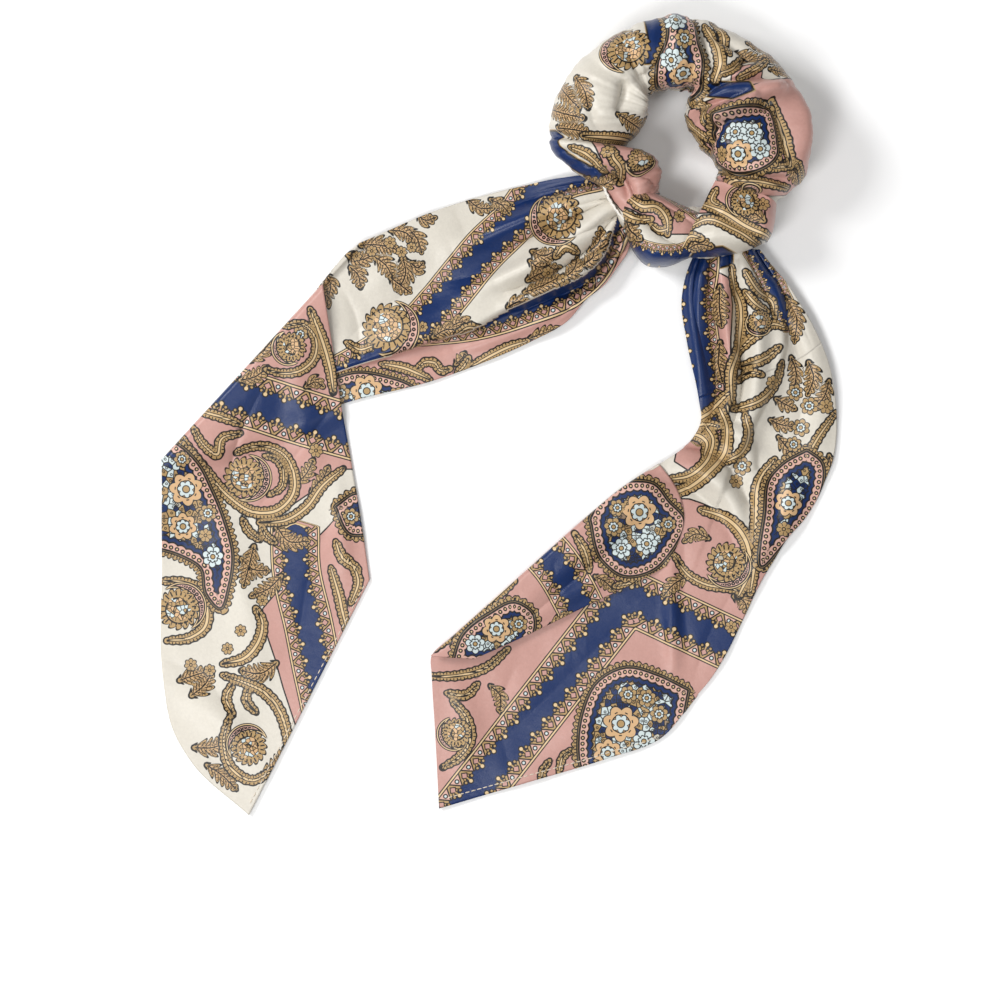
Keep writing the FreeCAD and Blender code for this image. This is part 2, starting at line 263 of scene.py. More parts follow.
def stripe_field(xy, stripes, corners=()):
    """Distance from the nearest stripe's middle and length along it, both in stripe units."""
    nearest = Nearest(len(xy), FAR, 0.0)
    for points, scale in stripes:
        line = line_of(points)
        away, length, _ = beside(xy, line, 14 * scale)
        before = ((xy - line[0]) @ (line[0] - line[1])) / np.linalg.norm(line[0] - line[1])
        past = ((xy - line[-1]) @ (line[-1] - line[-2])) / np.linalg.norm(line[-1] - line[-2])
        beyond = np.where(length <= 0, before, np.where(length > length.max() - 1e-6, past, 0)).clip(0)
        away = np.sqrt((away**2 - beyond**2).clip(0)) + STRIPE_POINT * beyond
        nearest.take(away / scale, away / scale, length / scale)
    for tip, first, second, scale in corners:
        rel = xy - np.array(tip)
        sides = []
        for leg, turn in ((first, 1), (second, -1)):
            leg = np.array(leg, float) / np.linalg.norm(leg)
            sides.append((turn * (leg[0] * rel[:, 1] - leg[1] * rel[:, 0]) / scale, rel @ leg / scale))
        pick = sides[0][0] < sides[1][0]
        away = np.abs(np.where(pick, sides[0][0], sides[1][0]))
        nearest.take(away, away, np.where(pick, sides[0][1], sides[1][1]))
    return nearest.values


def scroll_field(xy, scrolls):
    """Distance from the nearest curling band's middle, length along it and its half width."""
    nearest = Nearest(len(xy), FAR, 0.0, 1.0)
    for width, *points in scrolls:
        away, length, share = beside(xy, line_of(points), 5.0)
        taper = width * (0.45 + 0.55 * np.sin(np.pi * np.clip(share, 0, 1)) ** 0.6)
        nearest.take(np.abs(away) - taper, np.abs(away), length, taper)
    return nearest.values


def leaf_field(xy, leaves):
    """Signed distance from the nearest leaf's midrib, length along it and its half width."""
    nearest = Nearest(len(xy), FAR, 0.0, 0.01)
    for width, *points in leaves:
        away, length, share = beside(xy, line_of(points), 9.0)
        taper = width * np.clip(np.sin(np.pi * np.clip(share * 0.92 + 0.04, 0, 1)), 0.05, 1) ** 0.7
        nearest.take(np.abs(away) - taper, away, length, taper)
    return nearest.values


def bloom_field(corners, middles, blooms):
    """Each face corner's place in the flower nearest to the middle of its face."""
    nearest = Nearest(len(corners), FAR, FAR, 0.0)
    for x, y, radius in blooms:
        gap = np.hypot(middles[:, 0] - x, middles[:, 1] - y) - radius
        nearest.take(gap, corners[:, 0] - x, corners[:, 1] - y, radius, where=gap < radius * 0.45 + 2.5)
    return nearest.values


def panel_depth(xy, outlines):
    """How deep each place lies inside the nearest of some outlined panels."""
    depth = np.full(len(xy), DEEP)
    for outline in outlines:
        depth = np.maximum(depth, inside_distance(xy, outline)[0])
    return depth


def printed_fields(xy, design):
    """Every printed layer's field for cloth whose flat layout is xy."""
    medal, around = np.full(len(xy), DEEP), np.zeros(len(xy))
    for outline in design.get("medallions", ()):
        inside, length = inside_distance(xy, line_of(list(outline) + [outline[0]]))
        around = np.where(inside > medal, length, around)
        medal = np.maximum(medal, inside)
    leaf = leaf_field(xy, design.get("leaves", ()))
    return {
        "ground": (panel_depth(xy, design.get("pink", ())), panel_depth(xy, design.get("blue", ()))),
        "medallion": (medal, around),
        "stripe": stripe_field(xy, design.get("stripes", ()), design.get("corners", ())),
        "scroll": scroll_field(xy, design.get("scrolls", ())),
        "leaf": (np.abs(leaf[0]), *leaf[1:]), "midrib": (leaf[0],),
        "layout": (xy[:, 0], xy[:, 1])}


def print_on(piece, xy, design, parting=None, beyond=None):
    """Lays the print on a piece; past a parting line, the cloth shows another stretch of it."""
    ends = np.zeros(len(piece.data.loops), np.int32)
    piece.data.loops.foreach_get("vertex_index", ends)
    counts = np.zeros(len(piece.data.polygons), np.int32)
    piece.data.polygons.foreach_get("loop_total", counts)
    corners = xy[ends]
    starts = np.concatenate([[0], np.cumsum(counts)[:-1]])
    middles = np.repeat(np.add.reduceat(corners, starts) / counts[:, None], counts, axis=0)
    fields = printed_fields(xy, design)
    flowers = {kind: bloom_field(corners, middles, design.get(kind + "s", ()))
               for kind in ("bloom", "head")}
    if parting is not None:
        past = beside(xy, line_of(parting), 400.0)[0] < 0
        for name, values in printed_fields(xy, beyond).items():
            fields[name] = tuple(np.where(past, new, old) for new, old in zip(values, fields[name]))
        past = beside(middles, line_of(parting), 400.0)[0] < 0
        for kind in flowers:
            values = bloom_field(corners, middles, beyond.get(kind + "s", ()))
            flowers[kind] = tuple(np.where(past, new, old) for new, old in zip(values, flowers[kind]))
    for name, values in fields.items():
        keep_field(piece, name, *values)
    for name, values in flowers.items():
        keep_field(piece, name, *values, domain="CORNER")


# ---------------------------------------------------------------- finishes

def paint(red, green, blue):
    """An everyday 0 to 255 colour as the linear one that shaders take."""
    def linear(n):
        n = n / 255
        return n / 12.92 if n <= 0.04045 else ((n + 0.055) / 1.055) ** 2.4
    return (linear(red), linear(green), linear(blue), 1.0)


CREAM = paint(206, 200, 188)
PINK = paint(188, 143, 133)
PALE_PINK = paint(206, 164, 149)
BLUE = paint(0, 36, 88)
TAN = paint(172, 141, 94)
PALE_TAN = paint(212, 184, 140)
PEACH = paint(206, 168, 124)
MILK = paint(198, 210, 210)
INK = paint(18, 14, 12)


class Amount:
    """A number that a finish's nodes work out, so that it can be written as a sum."""

    def __init__(self, tree, socket):
        self.tree, self.socket = tree, socket

    def step(self, operation, *others):
        node = self.tree.nodes.new("ShaderNodeMath")
        node.operation = operation
        for slot, value in zip(node.inputs, (self, *others)):
            if isinstance(value, Amount):
                self.tree.links.new(value.socket, slot)
            else:
                slot.default_value = value
        return Amount(self.tree, node.outputs[0])

    def __add__(self, other):
        return self.step("ADD", other)

    def __sub__(self, other):
        return self.step("SUBTRACT", other)

    def __rsub__(self, other):
        return self * -1 + other

    def __mul__(self, other):
        return self.step("MULTIPLY", other)

    def __truediv__(self, other):
        return self.step("DIVIDE", other)

    def __abs__(self):
        return self.step("ABSOLUTE")

    def wave(self):
        return self.step("SINE")

    def part(self):
        """What is left past the last whole number."""
        return self.step("FRACT")

    def power(self, other):
        return self.step("POWER", other)

    def angle_to(self, other):
        return self.step("ARCTAN2", other)

    __radd__ = __add__
    __rmul__ = __mul__

    def each(self, repeat):
        """Distance from the middle of the repeat that a place is in."""
        return ((self / repeat).part() - 0.5) * repeat

    def bumps(self, repeat):
        """Round bumps from 0 to 1, one to each repeat."""
        return abs((self * (math.pi / repeat)).wave())

    def shown(self, soft=0.1):
        """1 where the number is above zero and 0 below, with a soft edge."""
        node = self.step("MULTIPLY_ADD", 1 / soft, 0.5)
        node.socket.node.use_clamp = True
        return node

    def line(self, width):
        """1 where the number is near zero."""
        return (width - abs(self)).shown()


class Finish:
    """A fabric finish: one shader, and the patterns that feed it."""

    def __init__(self, name, roughness, sheen=0.0, specular=0.5):
        self.material = bpy.data.materials.new(name)
        self.material.use_nodes = True
        self.tree = self.material.node_tree
        self.shader = self.tree.nodes["Principled BSDF"]
        self.shader.inputs["Roughness"].default_value = roughness
        self.shader.inputs["Sheen Weight"].default_value = sheen
        self.shader.inputs["Sheen Roughness"].default_value = 0.45
        self.shader.inputs["Specular IOR Level"].default_value = specular
        self.colour = None

    def field(self, name):
        source = self.tree.nodes.new("ShaderNodeAttribute")
        source.attribute_type = "GEOMETRY"
        source.attribute_name = name
        split = self.tree.nodes.new("ShaderNodeSeparateXYZ")
        self.tree.links.new(source.outputs["Vector"], split.inputs[0])
        return [Amount(self.tree, out) for out in split.outputs]

    def vector(self, x, y, z=0.0):
        join = self.tree.nodes.new("ShaderNodeCombineXYZ")
        for slot, value in zip(join.inputs, (x, y, z)):
            if isinstance(value, Amount):
                self.tree.links.new(value.socket, slot)
            else:
                slot.default_value = value
        return join.outputs[0]

    def noise(self, scale, detail=2.0, vector=None):
        cloud = self.tree.nodes.new("ShaderNodeTexNoise")
        cloud.inputs["Scale"].default_value = scale
        cloud.inputs["Detail"].default_value = detail
        if vector is None:
            vector = self.tree.nodes.new("ShaderNodeTexCoord").outputs["Object"]
        self.tree.links.new(vector, cloud.inputs["Vector"])
        return Amount(self.tree, cloud.outputs["Fac"])

    def cells(self, scale, vector, edges=False):
        cell = self.tree.nodes.new("ShaderNodeTexVoronoi")
        cell.voronoi_dimensions = "2D"
        cell.feature = "DISTANCE_TO_EDGE" if edges else "F1"
        cell.inputs["Scale"].default_value = scale
        self.tree.links.new(vector, cell.inputs["Vector"])
        if edges:
            return Amount(self.tree, cell.outputs["Distance"])
        split = self.tree.nodes.new("ShaderNodeSeparateXYZ")
        self.tree.links.new(cell.outputs["Color"], split.inputs[0])
        return Amount(self.tree, split.outputs[0]), Amount(self.tree, cell.outputs["Distance"])

    def over(self, colour, where):
        """Paints a colour over what is there, where the mask is 1."""
        if self.colour is None:
            self.colour = colour
            return
        mix = self.tree.nodes.new("ShaderNodeMix")
        mix.data_type = "RGBA"
        self.tree.links.new(where.socket, mix.inputs[0])
        for slot, value in ((mix.inputs[6], self.colour), (mix.inputs[7], colour)):
            if isinstance(value, tuple):
                slot.default_value = value
            else:
                self.tree.links.new(value, slot)
        self.colour = mix.outputs[2]

    def outlined(self, colour, depth, ink):
        """Fills the places whose depth is above zero, with a dark outline round them."""
        self.over(INK, (depth + ink).shown())
        self.over(colour, depth.shown())

    def shade(self, amount):
        """Makes the colour lighter or darker by a number near 1."""
        tone = self.tree.nodes.new("ShaderNodeVectorMath")
        tone.operation = "SCALE"
        if isinstance(self.colour, tuple):
            tone.inputs[0].default_value = self.colour[:3]
        else:
            self.tree.links.new(self.colour, tone.inputs[0])
        self.tree.links.new(amount.socket, tone.inputs["Scale"])
        self.colour = tone.outputs[0]

    def finish(self, height=None, depth=0.0001, strength=1.0):
        if self.colour is not None:
            if isinstance(self.colour, tuple):
                self.shader.inputs["Base Color"].default_value = self.colour
            else:
                self.tree.links.new(self.colour, self.shader.inputs["Base Color"])
        if height is not None:
            bump = self.tree.nodes.new("ShaderNodeBump")
            bump.inputs["Distance"].default_value = depth
            bump.inputs["Strength"].default_value = strength
            self.tree.links.new(height.socket, bump.inputs["Height"])
            self.tree.links.new(bump.outputs[0], self.shader.inputs["Normal"])
        return self.material


def reach_of(x, y):
    """Distance from a point that lies x and y away."""
    return (x * x + y * y).power(0.5)


def draw_ground(satin):
    """Cream satin, pink panels and blue patches, parted by dark outlines."""
    pink, blue, _ = satin.field("ground")
    satin.over(CREAM, None)
    satin.over(PINK, pink.shown())
    satin.over(INK, pink.line(0.3))
    satin.over(BLUE, blue.shown())
    satin.over(TAN, blue.line(0.7) * (blue * -1).shown())
    satin.over(INK, blue.line(0.35))


def draw_leaves(satin):
    """Tan acanthus leaves with lobed edges, veins, dark outlines and fine filling."""
    side, along, wide = satin.field("leaf")
    rib, _, _ = satin.field("midrib")
    x, y, _ = satin.field("layout")
    slanted = along - side * 0.9
    inner = wide * (slanted.bumps(3.0).power(0.6) * 0.78 + 0.42) - side
    satin.outlined(TAN, inner, 0.6)
    satin.over(PEACH, (inner - 0.8).shown() * 0.55)
    beside_rib = (side - wide * 0.22).shown()
    satin.over(INK, slanted.each(1.5).line(0.24) * (inner - 0.35).shown() * beside_rib)
    filling = satin.cells(0.62, satin.vector(x, y), edges=True)
    satin.over(INK, (0.07 - filling).shown(0.04) * (inner - 0.3).shown())
    satin.over(INK, rib.line(0.26) * (inner - 0.2).shown())


def draw_scrolls(satin):
    """Curling tan bands with a scalloped edge, an inner line and short ticks."""
    away, along, wide = satin.field("scroll")
    side = abs(away)
    inner = wide + along.bumps(3.0).power(2.0) * 0.3 - side
    satin.outlined(TAN, inner, 0.62)
    satin.over(PALE_TAN, (wide * 0.3 - side).shown())
    satin.over(INK, (side - wide * 0.34).line(0.17) * (wide - 0.8).shown())
    satin.over(INK, along.each(1.35).line(0.2) * (side - wide * 0.6).shown() * (inner + 0.1).shown())


def draw_medallions(satin):
    """Paisley medallions: a spiky tan rim, a ringed pink band, scalloped blue and filigree."""
    ring_middle, ring_radius, blue_from, heart_from = 1.5, 0.6, 3.0, 4.8
    depth, around, _ = satin.field("medallion")
    x, y, _ = satin.field("layout")
    rim = depth + around.bumps(2.6) * 1.1 + 1.6
    satin.outlined(TAN, rim, 0.6)
    satin.over(INK, around.each(1.3).line(0.25) * (rim - 0.3).shown() * ((depth + 0.9) * -1).shown())
    satin.over(INK, (depth + 0.8).line(0.3))
    satin.over(PALE_PINK, depth.shown())
    satin.over(INK, depth.line(0.4))
    ring = reach_of(around.each(2.4), depth - ring_middle)
    satin.over(PALE_TAN, (ring_radius - ring).shown())
    satin.over(INK, (ring - ring_radius - 0.02).line(0.28))
    bumps = around.bumps(3.4)
    scallop = depth - blue_from - bumps * 0.7
    satin.over(BLUE, scallop.shown())
    satin.over(INK, scallop.line(0.36))
    heart = depth - heart_from - bumps * 0.9
    plan = satin.vector(x, y)
    kind, middle = satin.cells(0.42, plan)
    edges = satin.cells(0.42, plan, edges=True)
    satin.over(TAN, heart.shown())
    satin.over(MILK, heart.shown() * (kind - 0.62).shown(0.02))
    satin.over(BLUE, heart.shown() * (0.3 - kind).shown(0.02))
    satin.over(INK, heart.shown() * (0.085 - edges).shown(0.05))
    satin.over(INK, heart.shown() * (middle - 0.17).line(0.07))
    satin.over(INK, heart.line(0.34))


def draw_stripes(satin):
    """Blue stripes edged with ringed triangles, small diamonds and ball-ended finials."""
    repeat, triangle_base, border, blue_edge = 7.2, 5.3, 9.3, 5.2
    side, along, _ = satin.field("stripe")
    for colour, half_width in ((INK, 10.75), (PALE_TAN, 10.3), (INK, 9.75), (TAN, border)):
        satin.over(colour, (half_width - side).shown())
    saw = abs(along.each(repeat))
    notch = repeat / 2 - saw
    slope = (side - triangle_base) - saw * 1.5
    in_border = (border + 0.2 - side).shown()
    satin.over(PALE_PINK, (border - side).shown() * slope.shown())
    satin.over(INK, in_border * slope.line(0.5))
    satin.over(INK, in_border * (slope + 2.2).line(0.34) * (notch - 0.4).shown())
    ring = reach_of(saw, side - 7.95)
    satin.over(INK, (0.98 - ring).shown())
    satin.over(MILK, (0.5 - ring).shown())
    diamond = notch + abs(side - 7.1)
    satin.over(INK, (1.75 - diamond).shown())
    satin.over(PINK, (1.15 - diamond).shown())
    fringe = blue_edge + (along * (TURN / 1.8)).wave() * 0.25
    satin.over(INK, (fringe + 0.5 - side).shown())
    satin.over(BLUE, (fringe - side).shown())
    stem = (side - 3.7).shown() * (6.0 - side).shown()
    ball = reach_of(notch, side - 3.9)
    satin.over(INK, (0.7 - notch).shown() * stem)
    satin.over(INK, (1.2 - ball).shown())
    satin.over(TAN, (0.3 - notch).shown() * stem)
    satin.over(PALE_TAN, (0.7 - ball).shown())
    bud = reach_of(abs(notch - 1.8), side - 4.9)
    satin.over(INK, (0.85 - bud).shown())
    satin.over(TAN, (0.45 - bud).shown())


def draw_blooms(satin):
    """Round flowers: petals with dark outlines round a small rosette."""
    large_from, small_to, rosette_from, petal_turn = 5.2, 3.7, 2.9, 3.5
    dx, dy, size = satin.field("bloom")
    radius = reach_of(dx, dy)
    swirl = dy.angle_to(dx) * petal_turn + size
    petals = abs(swirl.wave())
    edge = size * (petals * 0.26 + 0.74) - radius
    large, small = (size - large_from).shown(0.02), (small_to - size).shown(0.02)
    satin.outlined(MILK, edge, 0.46)
    satin.over(PEACH, edge.shown() * large)
    satin.over(TAN, edge.shown() * small)
    outer = (edge - 0.1).shown() * (radius - size * 0.42).shown()
    satin.over(INK, (0.3 - petals).shown(0.08) * outer * (1 - large))
    satin.over(INK, (radius - size * 0.5).line(0.26) * large)
    rosette = size * (petals * 0.16 + 0.34) - radius
    has_rosette = (size - rosette_from).shown(0.02)
    satin.over(INK, (rosette + 0.46).shown() * has_rosette)
    satin.over(MILK, rosette.shown() * has_rosette)
    satin.over(INK, (size * 0.2 - radius).line(0.3))
    satin.over(TAN, (size * 0.2 - radius - 0.1).shown())
    between = abs((swirl + math.pi / 2).wave()) * 0.9 + 0.1
    satin.over(INK, (radius - size * 0.66).line(0.24) * (0.5 - between).shown(0.1) * large)


def draw_heads(satin):
    """Round tan curls with spiky edges: a spiral round a heart of fine broken filling."""
    crescent_radius, spiral_gap = 1.18, 3.1
    dx, dy, size = satin.field("head")
    x, y, _ = satin.field("layout")
    radius = reach_of(dx, dy)
    turn = dy.angle_to(dx)
    facing = (turn - size * 4).step("COSINE")
    from_crescent = radius - size * crescent_radius
    crescent = size * 0.24 * facing.step("MAXIMUM", 0) - abs(from_crescent)
    beside_it = (radius - size * 0.9).shown() * facing.shown()
    satin.over(INK, (crescent + 0.4).shown() * beside_it)
    satin.over(PALE_TAN, crescent.shown() * beside_it)
    satin.over(INK, (crescent - 0.7).line(0.36) * beside_it)
    satin.over(PALE_PINK, (crescent - 0.9).shown() * beside_it)
    bead = ((turn * 5.2).part() - 0.5) * 0.19 * radius
    satin.over(INK, (reach_of(bead, from_crescent) - 0.5).line(0.3) * (crescent - 1.1).shown())
    spikes = abs((turn * 8 + radius * 0.6).wave()).power(0.8)
    edge = size * (spikes * 0.2 + 0.82) - radius
    satin.outlined(TAN, edge, 0.65)
    ticks = ((turn * 3.2).part() - 0.5) * 0.31 * radius
    satin.over(INK, ticks.line(0.3) * (edge - 0.5).shown() * (radius - size * 0.68).shown())
    spiral = ((radius / spiral_gap - turn / TURN).part() - 0.5) * spiral_gap
    satin.over(INK, (spiral + 1.1).line(0.34) * (edge - 1.0).shown())
    plan = satin.vector(x, y)
    kind, _ = satin.cells(0.66, plan)
    filling = satin.cells(0.66, plan, edges=True)
    heart = (size * 0.62 - radius).shown()
    satin.over(MILK, heart * (kind - 0.74).shown(0.02))
    satin.over(PEACH, heart * (0.3 - kind).shown(0.02))
    satin.over(INK, heart * (0.095 - filling).shown(0.05))


def printed_satin(name):
    """Printed satin: the whole design, with a soft sheen, fine threads and slight crumple."""
    satin = Finish(name, roughness=0.33, sheen=0.03, specular=0.42)
    draw_ground(satin)
    draw_stripes(satin)
    draw_leaves(satin)
    draw_scrolls(satin)
    draw_medallions(satin)
    draw_blooms(satin)
    draw_heads(satin)
    mottle = satin.noise(900.0, 3.0) * 0.16 + 0.92
    satin.shade(mottle)
    crumple = satin.noise(150.0, 3.0)
    x, y, _ = satin.field("layout")
    threads = ((x + y * 0.35) * (TURN / 0.32)).wave() * 0.02 + (y * (TURN / 0.4)).wave() * 0.014
    fibre = satin.noise(1400.0, 2.0) * 0.10
    return satin.finish(crumple * 0.9 + threads + fibre, depth=0.0006, strength=0.55)


def woven_elastic(name):
    """White braided elastic: ribs along it, crossed by its weft."""
    elastic = Finish(name, roughness=0.75, sheen=0.15)
    x, y, _ = elastic.field("layout")
    ribs = (y * (TURN / 1.1)).wave()
    weft = (x * (TURN / 0.7)).wave()
    elastic.over(paint(236, 232, 224), None)
    elastic.over(paint(206, 200, 190), (ribs * weft * 0.5 + 0.4) * 0.6)
    elastic.shade(elastic.noise(700.0) * 0.2 + 0.9)
    return elastic.finish(ribs * 0.5 + weft * 0.3, depth=0.0002, strength=0.7)


def sewing_thread(name):
    """Cream sewing thread with the slant of its twist."""
    thread = Finish(name, roughness=0.55, sheen=0.2)
    twist = thread.tree.nodes.new("ShaderNodeTexWave")
    twist.bands_direction = "DIAGONAL"
    twist.inputs["Scale"].default_value = 900.0
    place = thread.tree.nodes.new("ShaderNodeTexCoord").outputs["Object"]
    thread.tree.links.new(place, twist.inputs["Vector"])
    slant = Amount(thread.tree, twist.outputs["Fac"])
    thread.over(paint(226, 214, 196), None)
    thread.over(paint(188, 170, 148), slant * 0.6)
    thread.shade(thread.noise(1200.0) * 0.2 + 0.9)
    return thread.finish(slant, depth=0.0001, strength=0.8)


def paper_floor(name):
    floor = Finish(name, roughness=0.85)
    floor.over(paint(250, 250, 250), None)
    floor.shade(floor.noise(60.0) * 0.02 + 0.985)
    return floor.finish()


# ---------------------------------------------------------------- the left tail

LEFT_CREST = ((-135.5, -17.4), (-71, 53))   # the line that the left tail's end is folded over
CREST_ROUND = 2.2      # radius of the cloth's turn at a fold
TAIL_OUTWARD = np.array([-0.293, 0.956])    # across the left tail, from its lower edge

LEFT_LOW_EDGE = [(53, 74), (51, 66), (47, 60), (42, 53), (34, 46.6), (27, 38.6), (13, 30.6),
                 (-5, 22.6), (-27, 14.6), (-59, 6.6), (-97, -6), (-135.5, -17.4)]
LEFT_HIGH_EDGE = [(46, 91), (40, 95.4), (24, 95.6), (8, 92.5), (-8, 88.6), (-40, 77), (-62, 65), (-71, 53)]
LEFT_OVERLAP = [(-72, 15), (-67, 17.7), (-51.6, 22.6), (-38, 27), (-25.5, 30.8), (-8.3, 36.5), (1.5, 42.2),
                (17.8, 49.5), (33.3, 56.9), (40.6, 63.4), (46.4, 78.9)]
LEFT_FOLDS = [
    ("step", 5.0, 13.0, LEFT_OVERLAP),
    ("furrow", 4.0, 2.4, [(-9, 34), (2.4, 39.8), (18.8, 47.1), (35, 54.4), (42.8, 62.4), (48.4, 78)]),
    ("furrow", 5.0, 2.2, [(22, 48.6), (35, 54.4), (42.6, 62.4), (46, 70), (48.4, 80)]),
    ("ridge", 4.5, 4.5, [(44, 88), (24, 84), (2, 76), (-20, 66)]),
    ("furrow", 3.6, 1.6, [(45, 87), (30, 80), (12, 72), (-6, 62)]),
    ("ridge", 4.0, 4.0, [(46, 84), (30, 72), (10, 60), (-14, 50)]),
    ("furrow", 4.0, 1.5, [(47, 82), (36, 68), (20, 57), (2, 50)]),
    ("ridge", 3.5, 4.0, [(49, 79), (40, 62), (24, 52), (4, 43)]),
    ("ridge", 2.0, 3.0, [(50, 66), (42, 54), (28, 44), (8, 35), (-20, 26)]),
    ("furrow", 2.0, 1.5, [(43, 93), (30, 92), (14, 88), (-2, 82)]),
    ("ridge", 2.6, 7.0, [(-14, 76), (-36, 66), (-58, 52)]),
    ("furrow", 1.8, 3.0, [(-4, 58), (-30, 52), (-50, 42), (-62, 30)]),
    ("ridge", 2.0, 6.0, [(0, 52), (-26, 40), (-54, 28)]),
    ("furrow", 1.5, 2.4, [(-6, 36), (-30, 26), (-58, 18)]),
    ("furrow", 1.2, 2.0, [(-66, 56), (-58, 40), (-56, 22)]),
]

LEFT_END_LEFT_EDGE = [(-135.5, -17.4), (-136, -60), (-135.5, -105), (-131.5, -126), (-124, -139),
                      (-101, -160.2)]
LEFT_END_RIGHT_EDGE = [(-71, 53), (-67.5, 30), (-64, 6), (-59.5, -20), (-55.5, -44), (-52.5, -65.5)]
LEFT_END_FOLDS = [
    ("ridge", 1.5, 6.0, [(-77, 44), (-80, 12), (-74, -24)]),
    ("furrow", 0.9, 2.5, [(-66, 6), (-84, -18), (-100, -40), (-120, -54)]),
    ("ridge", 1.6, 7.0, [(-122, -22), (-106, -60), (-98, -110)]),
    ("furrow", 1.1, 2.2, [(-58, -28), (-72, -50), (-82, -92)]),
    ("ridge", 1.8, 6.0, [(-130, -108), (-112, -122), (-98, -138)]),
    ("furrow", 0.9, 1.8, [(-92, 18), (-104, -6), (-112, -34)]),
    ("ridge", 1.3, 4.0, [(-66, -20), (-64, -46), (-62, -64)]),
    ("furrow", 0.8, 1.5, [(-134, -98), (-120, -104), (-108, -118)]),
]

crest_run = np.subtract(LEFT_CREST[1], LEFT_CREST[0])
crest_run /= np.linalg.norm(crest_run)
crest_inward = np.array([crest_run[1], -crest_run[0]])


def crest_turn(inward):
    """How far a turning cloth has left its flat level, at a distance inward of the fold."""
    q = np.clip(1 - inward / CREST_ROUND, 0, 1)
    return CREST_ROUND * (1 - np.sqrt(np.clip(1 - q * q, 0, 1)))


def shares(count, span, fine_start=False, fine_end=False):
    """Even shares from 0 to 1, with extra close ones where the cloth turns over a fold."""
    turn = CREST_ROUND / span
    ends = (1 - np.sin(np.linspace(math.pi / 2, 0, 7))) * turn
    first = turn if fine_start else 0.0
    last = 1 - turn if fine_end else 1.0
    even = np.linspace(first, last, count)
    parts = [ends[:-1]] if fine_start else []
    parts.append(even)
    if fine_end:
        parts.append(1 - ends[::-1][1:])
    return np.concatenate(parts)


def gathered(bunch, v, lift, arch_height, pleat_height, pleat_turns):
    """Height that a bunched root adds: an arch across the tail, with rounded pleats on it."""
    arch = np.sin(np.pi * np.clip(v, 0.02, 0.98)) ** 0.6
    pleats = np.abs(np.sin(np.pi * pleat_turns)) ** 0.7
    return bunch * (lift + arch_height * arch) + bunch**1.5 * pleat_height * (pleats - 0.5)


def by_crest(away, width):
    """1 beside a fold's crest, and less with the distance from it."""
    return np.exp(-((away - CREST_ROUND).clip(0) / width) ** 2)


def left_tail_place(u, v):
    layout = spread(through(LEFT_LOW_EDGE), through(LEFT_HIGH_EDGE),
                    straight(LEFT_LOW_EDGE[0], LEFT_HIGH_EDGE[0]), straight(*LEFT_CREST))(u, v)
    inward = np.clip((layout - LEFT_CREST[1]) @ crest_inward, 0, None)
    bunch = 1 - ease(u / 0.42)
    level = 1.0 + gathered(bunch, v, 2.0, 7.5, 3.4, 6.5 * v + 0.5 * np.sin(5 * v) + 0.4)
    level += 3.0 * by_crest(inward, 16)
    under = ease((inward - 3) / 14)
    level += fold_heights(layout, LEFT_FOLDS, 1.35) * (0.35 + 0.65 * under) * (0.4 + 0.6 * ease(inward / 60))
    level += 0.35 * np.sin(layout[:, 0] * 0.21 + layout[:, 1] * 0.09) * under
    level = above_table(level) + crest_turn(inward)
    side = (v - 0.5) * bunch * 2.4 * np.sin(v * 40)
    shape = np.column_stack([layout[:, 0] + side * 0.3, layout[:, 1] + side * 0.5, level])
    return shape, layout


def left_end_place(u, v):
    layout = spread(through(LEFT_END_LEFT_EDGE), through(LEFT_END_RIGHT_EDGE),
                    straight(*LEFT_CREST), straight(LEFT_END_LEFT_EDGE[-1], LEFT_END_RIGHT_EDGE[-1]))(u, v)
    inward = np.clip((layout - LEFT_CREST[1]) @ crest_inward, 0, None)
    past = -((layout - LEFT_CREST[0]) @ TAIL_OUTWARD)
    level = 3.0 + 5.4 * by_crest(inward, 18)
    level -= 2.0 * ease((past - 1) / 9)
    away = ease((inward - 3) / 14)
    level += fold_heights(layout, LEFT_END_FOLDS, 1.2) * away
    level += 0.3 * np.sin(layout[:, 0] * 0.16 - layout[:, 1] * 0.11) * away
    level = above_table(level) - crest_turn(inward)
    return np.column_stack([layout, level]), layout


